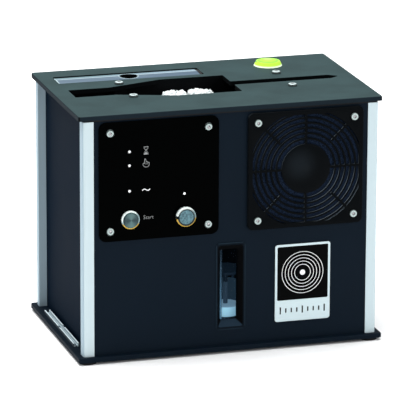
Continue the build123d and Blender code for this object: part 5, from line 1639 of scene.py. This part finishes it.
@dataclass
class WaterWindow:
    """Window, tank and float."""

    shield_r: float = 15.6 * MM
    shield_t: float = 0.4 * MM
    shield_rise: float = 3.2 * MM
    shield_top: float = 69.5 * MM
    sight_half: float = 9.75 * MM
    cage_half: float = 12.0 * MM
    # Reach of the tank's painted light fade, and height of the float's top edge painted in shade.
    tank_fade: float = 5.0 * MM
    float_edge: float = 0.9 * MM

    def build(self) -> None:
        """Make the half tube behind the float, a sheet that carries painted light seen through the window."""
        centre, bottom = middle("level_float"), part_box("float_cage")[0].z + self.shield_rise
        place = (centre.x, centre.y, (self.shield_top + bottom) / 2)
        piece = Bench.add(
            bpy.ops.mesh.primitive_cylinder_add, "float_shield", vertices=64, radius=self.shield_r,
            depth=self.shield_top - bottom, end_fill_type="NOTHING", location=place,
        )
        cut = {"plane_co": (centre.x, centre.y, 0), "plane_no": (0, 1, 0), "clear_inner": True}
        Bench.edit(piece, lambda: bpy.ops.mesh.bisect(**cut))
        Bench.apply(piece, "SOLIDIFY", thickness=self.shield_t, offset=0.0)
        Bench.clean(piece)
        Bench.smooth(piece)
        # Painted light on the half tube: lighter at the left, darker at the right, and glowing.
        ends = centre.x - self.sight_half, centre.x
        finish = LitPlastic("float_shield", (0.04, 0.075, 0.115), (0.014, 0.03, 0.048), *ends, 0.75)
        fit(piece, HOUSING, finish.make())

    def dress(self) -> None:
        """Finish the bezel, the pane, the tank, the cage and the float."""
        BezelPaint("bezel_paint", *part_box("window_bezel")).on("window_bezel")
        low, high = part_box("window_pane")
        PaneFilm("window_film", middle("window_pane").x - self.sight_half, low.z, high.z).on("window_pane")
        low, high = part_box("level_float")
        # Painted light on the float: lit at its left, shaded at its right, with painted shade along its top
        # edge.
        white, shade, rim = (0.38, 0.72, 0.9), (0.26, 0.52, 0.7), (0.17, 0.3, 0.42)
        edge = high.z - self.float_edge
        LitPlastic("float_white", white, shade, low.x, high.x, 0.6, rim, edge).on("level_float")
        cage = middle("float_cage").x
        ends = cage - self.cage_half, cage + self.cage_half
        # Painted light on the cage, with painted shade above the half tube's top.
        smoke, dark, cap = (0.026, 0.05, 0.078), (0.014, 0.029, 0.047), (0.003, 0.007, 0.013)
        LitPlastic("cage_smoke", smoke, dark, *ends, 0.8, cap, self.shield_top).on("float_cage")
        # Painted light inside the tank: lit to the left, fading to black to the right.
        ends = -self.tank_fade, self.tank_fade
        LitPlastic("tank_shell", (0.007, 0.017, 0.031), (0.0003, 0.0005, 0.0008), *ends, 0.8).on("water_tank")


@dataclass
class TopFittings:
    """Filter cover, spirit level and screws of the top plate."""

    hole_r: float = 10.0 * MM
    bubble_r: float = 3.4 * MM
    bubble_drop: float = 0.45 * MM
    bubble_flat: float = 0.12
    screw_head_r: float = 5.0 * MM
    screw_socket_r: float = 1.9 * MM

    def dress(self) -> None:
        """Finish the cover, the level and the screws."""
        LidAcrylic("lid_acrylic", *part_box("filter_lid"), self.hole_r).on("filter_lid")
        LevelShell("level_shell", *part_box("spirit_level_body")).on("spirit_level_body", "spirit_level_vial")
        looks = self.screw_head_r, self.screw_socket_r, (0.42, 0.5, 0.5)
        ScrewSteel("top_screw_steel", "XY", self.screw_places(), *looks).on("top_screws")

    @staticmethod
    def screw_places() -> tuple[tuple[float, float, float, float], ...]:
        """Middle of each top screw, from the quarters of their node's box.

        Returns:
            For each screw its middle on X and Y, and twice nothing, as it stands alone.
        """
        centre, places = middle("top_screws"), []
        points = [vertex.co for vertex in frame["nodes"]["top_screws"].data.vertices]
        for left, front in ((True, True), (True, False), (False, True), (False, False)):
            spots = [p for p in points if (p.x < centre.x) == left and (p.y < centre.y) == front]
            low, high = Vector(map(min, *spots)), Vector(map(max, *spots))
            places.append((round((low.x + high.x) / 2, 4), round((low.y + high.y) / 2, 4), 0.0, 0.0))
        return tuple(places)

    def build(self) -> None:
        """Make the bubble of the level."""
        centre = middle("spirit_level_vial")
        lens = (centre.x, centre.y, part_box("spirit_level_vial")[1].z - self.bubble_drop)
        ball = {"segments": 40, "ring_count": 20, "radius": self.bubble_r, "location": lens}
        bubble = Bench.add(bpy.ops.mesh.primitive_uv_sphere_add, "level_bubble", **ball)
        squeeze = {"value": (1, 1, self.bubble_flat), "center_override": lens}
        Bench.edit(bubble, lambda: bpy.ops.transform.resize(**squeeze))
        Bench.smooth(bubble, 60.0)
        air = Glow("level_air", (0.36, 0.62, 0.2), (0.2, 0.5, 0.08), tuple(centre), self.bubble_r, 0.15)
        fit(bubble, HOUSING, air.make())


@dataclass
class Nameplate:
    """Bare plate with a plain pattern of record grooves on its dark field."""

    foot_h: float = 24.0 * MM
    rim_w: float = 2.5 * MM
    floor_depth: float = 0.3 * MM
    field_depth: float = 0.5 * MM
    rings: int = 5
    ring_in: float = 9.0 * MM
    ring_step: float = 3.6 * MM
    line: float = 0.55 * MM
    dot_r: float = 3.0 * MM
    bars: int = 9
    bar_w: float = 1.6 * MM
    bar_tall: float = 8.0 * MM
    bar_short: float = 5.0 * MM
    bar_group: int = 4
    bar_bevel: float = 0.02 * MM
    bar_share: float = 0.8
    bar_rise: float = 12.5 * MM
    print_t: float = 0.06 * MM

    def build(self, white: Material, black: Material) -> None:
        """Finish the plate and lay its prints.

        Args:
            white: Finish of the grooves.
            black: Finish of the bars.
        """
        low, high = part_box("nameplate")
        PlateEnamel("nameplate_enamel", low.y + self.floor_depth).on("nameplate")
        motif = self.grooves(low, high)
        Bench.clean(motif)
        Bench.smooth(motif, 60.0)
        fit(motif, HOUSING, white)
        scale = self.scale(low, high)
        Bench.clean(scale)
        fit(scale, HOUSING, black)

    def grooves(self, low: Vector, high: Vector) -> Piece:
        """Rings with a dot in the middle of the dark field.

        Args:
            low: Lowest corner of the plate.
            high: Highest corner of the plate.

        Returns:
            Rings and dot as one piece.
        """
        sunk = low.y + self.field_depth
        field_z = low.z + self.foot_h + (high.z - low.z - self.foot_h - self.rim_w) / 2
        place, pieces = ((low.x + high.x) / 2, sunk, field_z), []
        for ring in range(self.rings):
            groove = Bench.add(
                bpy.ops.mesh.primitive_torus_add, "groove", location=place, rotation=(math.pi / 2, 0, 0),
                major_radius=self.ring_in + ring * self.ring_step, minor_radius=self.line / 2,
                major_segments=96, minor_segments=8,
            )
            Bench.flatten(groove, sunk, self.print_t / self.line)
            pieces.append(groove)
        ball = {"segments": 32, "ring_count": 16, "radius": self.dot_r, "location": place}
        dot = Bench.add(bpy.ops.mesh.primitive_uv_sphere_add, "label_dot", **ball)
        Bench.flatten(dot, sunk, 0.01)
        return Bench.join("nameplate_grooves", [*pieces, dot])

    def scale(self, low: Vector, high: Vector) -> Piece:
        """A row of bars on the bright foot, the first of each group tall.

        Args:
            low: Lowest corner of the plate.
            high: Highest corner of the plate.

        Returns:
            The bars as one piece.
        """
        width, bars = (high.x - low.x) * self.bar_share, []
        start = (low.x + high.x) / 2 - width / 2
        for place in range(self.bars):
            tall = self.bar_short if place % self.bar_group else self.bar_tall
            bar = Bench.add(
                bpy.ops.mesh.primitive_cube_add, "bar", size=1.0, scale=(self.bar_w, 2 * self.print_t, tall),
                location=(start + width * place / (self.bars - 1), low.y, low.z + self.bar_rise),
            )
            Bench.edit(bar, lambda: bpy.ops.mesh.bevel(offset=self.bar_bevel, segments=2))
            bars.append(bar)
        return Bench.join("nameplate_scale", bars)


@dataclass
class RockerMarks:
    """Plain on and off signs on the mains rocker."""

    size: float = 3.2 * MM
    line: float = 0.6 * MM
    print_t: float = 0.12 * MM
    bevel: float = 0.03 * MM
    ring_flat: float = 0.2

    def bar(self) -> Piece:
        """The sign for on.

        Returns:
            The bar, at the origin.
        """
        thin = (self.line, self.size, self.print_t)
        mark = Bench.add(bpy.ops.mesh.primitive_cube_add, "rocker_on", size=1.0, scale=thin)
        Bench.edit(mark, lambda: bpy.ops.mesh.bevel(offset=self.bevel, segments=2))
        return mark

    def ring(self) -> Piece:
        """The sign for off.

        Returns:
            The ring, at the origin.
        """
        mark = Bench.add(
            bpy.ops.mesh.primitive_torus_add, "rocker_off", major_radius=self.size / 2,
            minor_radius=self.line / 2, major_segments=48, minor_segments=8,
        )
        Bench.move_points(mark, lambda point: Vector((point.x, point.y, point.z * self.ring_flat)))
        return mark

    def build(self, white: Material) -> None:
        """Lay the two signs on the rocker's wings.

        Args:
            white: The finish of both signs.
        """
        for shape, top in ((self.bar, True), (self.ring, False)):
            centre, normal = self.wing(top)
            mark = shape()
            turn = normal.to_track_quat("Z", "Y").to_matrix().to_4x4()
            mark.matrix_world = Matrix.Translation(centre) @ turn
            Bench.take(mark)
            Bench.smooth(Bench.named(mark.name))
            fit(mark, "power_rocker", white)

    @staticmethod
    def wing(top: bool) -> tuple[Vector, Vector]:
        """Middle and normal of a rocker's wing, from its faces that look back.

        Args:
            top: Whether the upper wing is wanted.

        Returns:
            The middle and the normal.
        """
        total, centre, normal = 0.0, Vector(), Vector()
        for face in frame["nodes"]["power_rocker"].data.polygons:
            if face.normal.y >= 0.9 and (face.center.z > middle("power_rocker").z) == top:
                total += face.area
                centre += face.center * face.area
                normal += face.normal * face.area
        return centre / total, normal.normalized()


@dataclass
class Fittings:
    """Finishes of every other node, by the record's material slot."""

    finishes: tuple[tuple[str, Finish], ...] = (
        ("case_paint", PowderCoat("bracket_paint", (0.01, 0.015, 0.02), 0.6, 0.2)),
        ("top_paint", PowderCoat("cover_paint", (0.02, 0.03, 0.035), 0.6, 0.2)),
        ("aluminium", DrawnMetal("milled_aluminium", (0.78, 0.8, 0.82), 0.3, (40, 1400, 1400))),
        ("bright_steel", DrawnMetal("bright_steel", (0.5, 0.54, 0.56), 0.2, (500, 500, 500))),
        ("bracket_steel", DrawnMetal("zinc_steel", (0.55, 0.57, 0.58), 0.4, (30, 900, 900))),
        ("brass", DrawnMetal("brass", (0.78, 0.58, 0.25), 0.3, (900, 900, 60))),
        ("rubber", Moulding("soft_rubber", (0.006, 0.006, 0.007), 0.8, 0.2, 0.04 * MM)),
        ("grey_plastic", Moulding("grey_nylon", (0.05, 0.055, 0.06), 0.5)),
        ("black_plastic", Moulding("black_nylon", (0.008, 0.009, 0.01), 0.45)),
        ("white_plastic", Moulding("white_nylon", (0.8, 0.82, 0.84), 0.45)),
        ("vial_green", Moulding("lime_plastic", (0.5, 0.8, 0.06), 0.45)),
        ("clear", ClearSheet("clear_acrylic", (0.03, 0.05, 0.07), 0.12, 0.05, 0.15)),
        ("frosted", ClearSheet("frosted_tank", (0.02, 0.03, 0.04), 0.8, 0.4, 0.1)),
        ("foam", Foam("foam", (0.004, 0.006, 0.01), (0.02, 0.03, 0.05))),
        ("fleece", Fleece("fleece", (0.5, 0.52, 0.54), (0.9, 0.9, 0.9))),
        ("board", BoardResist("board_resist", (0.01, 0.09, 0.03), (0.02, 0.16, 0.06), (0.7, 0.55, 0.25))),
    )

    def dress(self, white: Material, black: Material) -> None:
        """Finish each node by its slot, and the lamps in white.

        Args:
            white: The lamps' finish.
            black: The finish of glossy black parts.
        """
        made = {slot: finish.make() for slot, finish in self.finishes} | {"gloss_black": black}
        for part in frame["record"]["subparts"]:
            wear(frame["nodes"][part["node"]], made[part["material_slot"]])
        wear(frame["nodes"]["status_lamps"], white)


@dataclass(frozen=True)
class Softbox:
    """One square soft light that faces the object."""

    name: str
    place: Place
    power: float
    size: float
    target: Place = (0.0, 0.0, 0.1)

    def build(self) -> None:
        """Hang the light."""
        light = bpy.data.lights.new(self.name, "AREA")
        light.energy = self.power
        light.size = self.size
        aim = (Vector(self.target) - Vector(self.place)).to_track_quat("-Z", "Y").to_matrix().to_4x4()
        Bench.lay(self.name, light).matrix_world = Matrix.Translation(self.place) @ aim


@dataclass
class Studio:
    """Pale floor, soft lights and the camera."""

    eye: Place = (-1.19761, -4.01006, 1.31902)
    ahead: Place = (0.276196, 0.921713, -0.272326)
    roll: float = 0.00429
    lens: float = 341.6
    clip_end: float = 200.0
    floor_half: float = 30.0
    floor_tone: float = 0.93
    sky: Colour = (0.95, 0.98, 1.0)
    sky_strength: float = 0.55
    lights: tuple[Softbox, ...] = (
        Softbox("overhead", (-0.3, 0.4, 2.6), 140.0, 2.6),
        Softbox("key", (2.2, -3.4, 1.8), 45.0, 1.6),
        Softbox("fill", (-3.4, 0.4, 1.2), 10.0, 1.8),
    )

    def build(self) -> None:
        """Set up the studio."""
        self.floor()
        self.world()
        for light in self.lights:
            light.build()
        self.camera()

    def floor(self) -> None:
        """Pale floor, much wider than the view."""
        floor = Bench.add(bpy.ops.mesh.primitive_plane_add, "studio_floor", size=2 * self.floor_half)
        sheet = NodeSheet("studio_floor")
        cloud = sheet.noise(0.8, 2.0, 0.5)
        base = sheet.mix((self.floor_tone,) * 3, (self.floor_tone + 0.02,) * 3, cloud)
        wear(floor, sheet.finish(base, 0.9, 0.1))

    def world(self) -> None:
        """Even soft light from all round."""
        world = bpy.data.worlds.new("studio_sky")
        bpy.context.scene.world = world
        world.use_nodes = True
        background = world.node_tree.nodes["Background"]
        background.inputs["Color"].default_value = (*self.sky, 1.0)
        background.inputs["Strength"].default_value = self.sky_strength

    def camera(self) -> None:
        """Camera at the object's viewing angle."""
        view = bpy.data.cameras.new("view")
        view.lens = self.lens
        view.clip_end = self.clip_end
        eye = Bench.lay("view", view)
        turn = Vector(self.ahead).to_track_quat("-Z", "Y").to_matrix() @ Matrix.Rotation(self.roll, 3, "Z")
        eye.matrix_world = Matrix.Translation(self.eye) @ turn.to_4x4()
        bpy.context.scene.camera = eye
        bpy.context.scene.view_settings.view_transform = "Standard"


def main() -> None:
    """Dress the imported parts, make the new pieces and set up the studio."""
    logging.basicConfig(level=logging.INFO, format="%(name)s: %(message)s")
    white = Moulding("print_white", (0.85, 0.86, 0.87), 0.5).make()
    black = Lacquer("gloss_black", (0.0015, 0.0017, 0.002), 0.15, 0.3).make()
    Fittings().dress(white, black)
    Case().dress()
    controls, window, top = Controls(), WaterWindow(), TopFittings()
    controls.dress()
    controls.build(white)
    FanGuards().build()
    Rollers().build()
    window.dress()
    window.build()
    top.dress()
    top.build()
    Nameplate().build(white, black)
    RockerMarks().build(white)
    Studio().build()


if __name__ == "__main__":
    main()
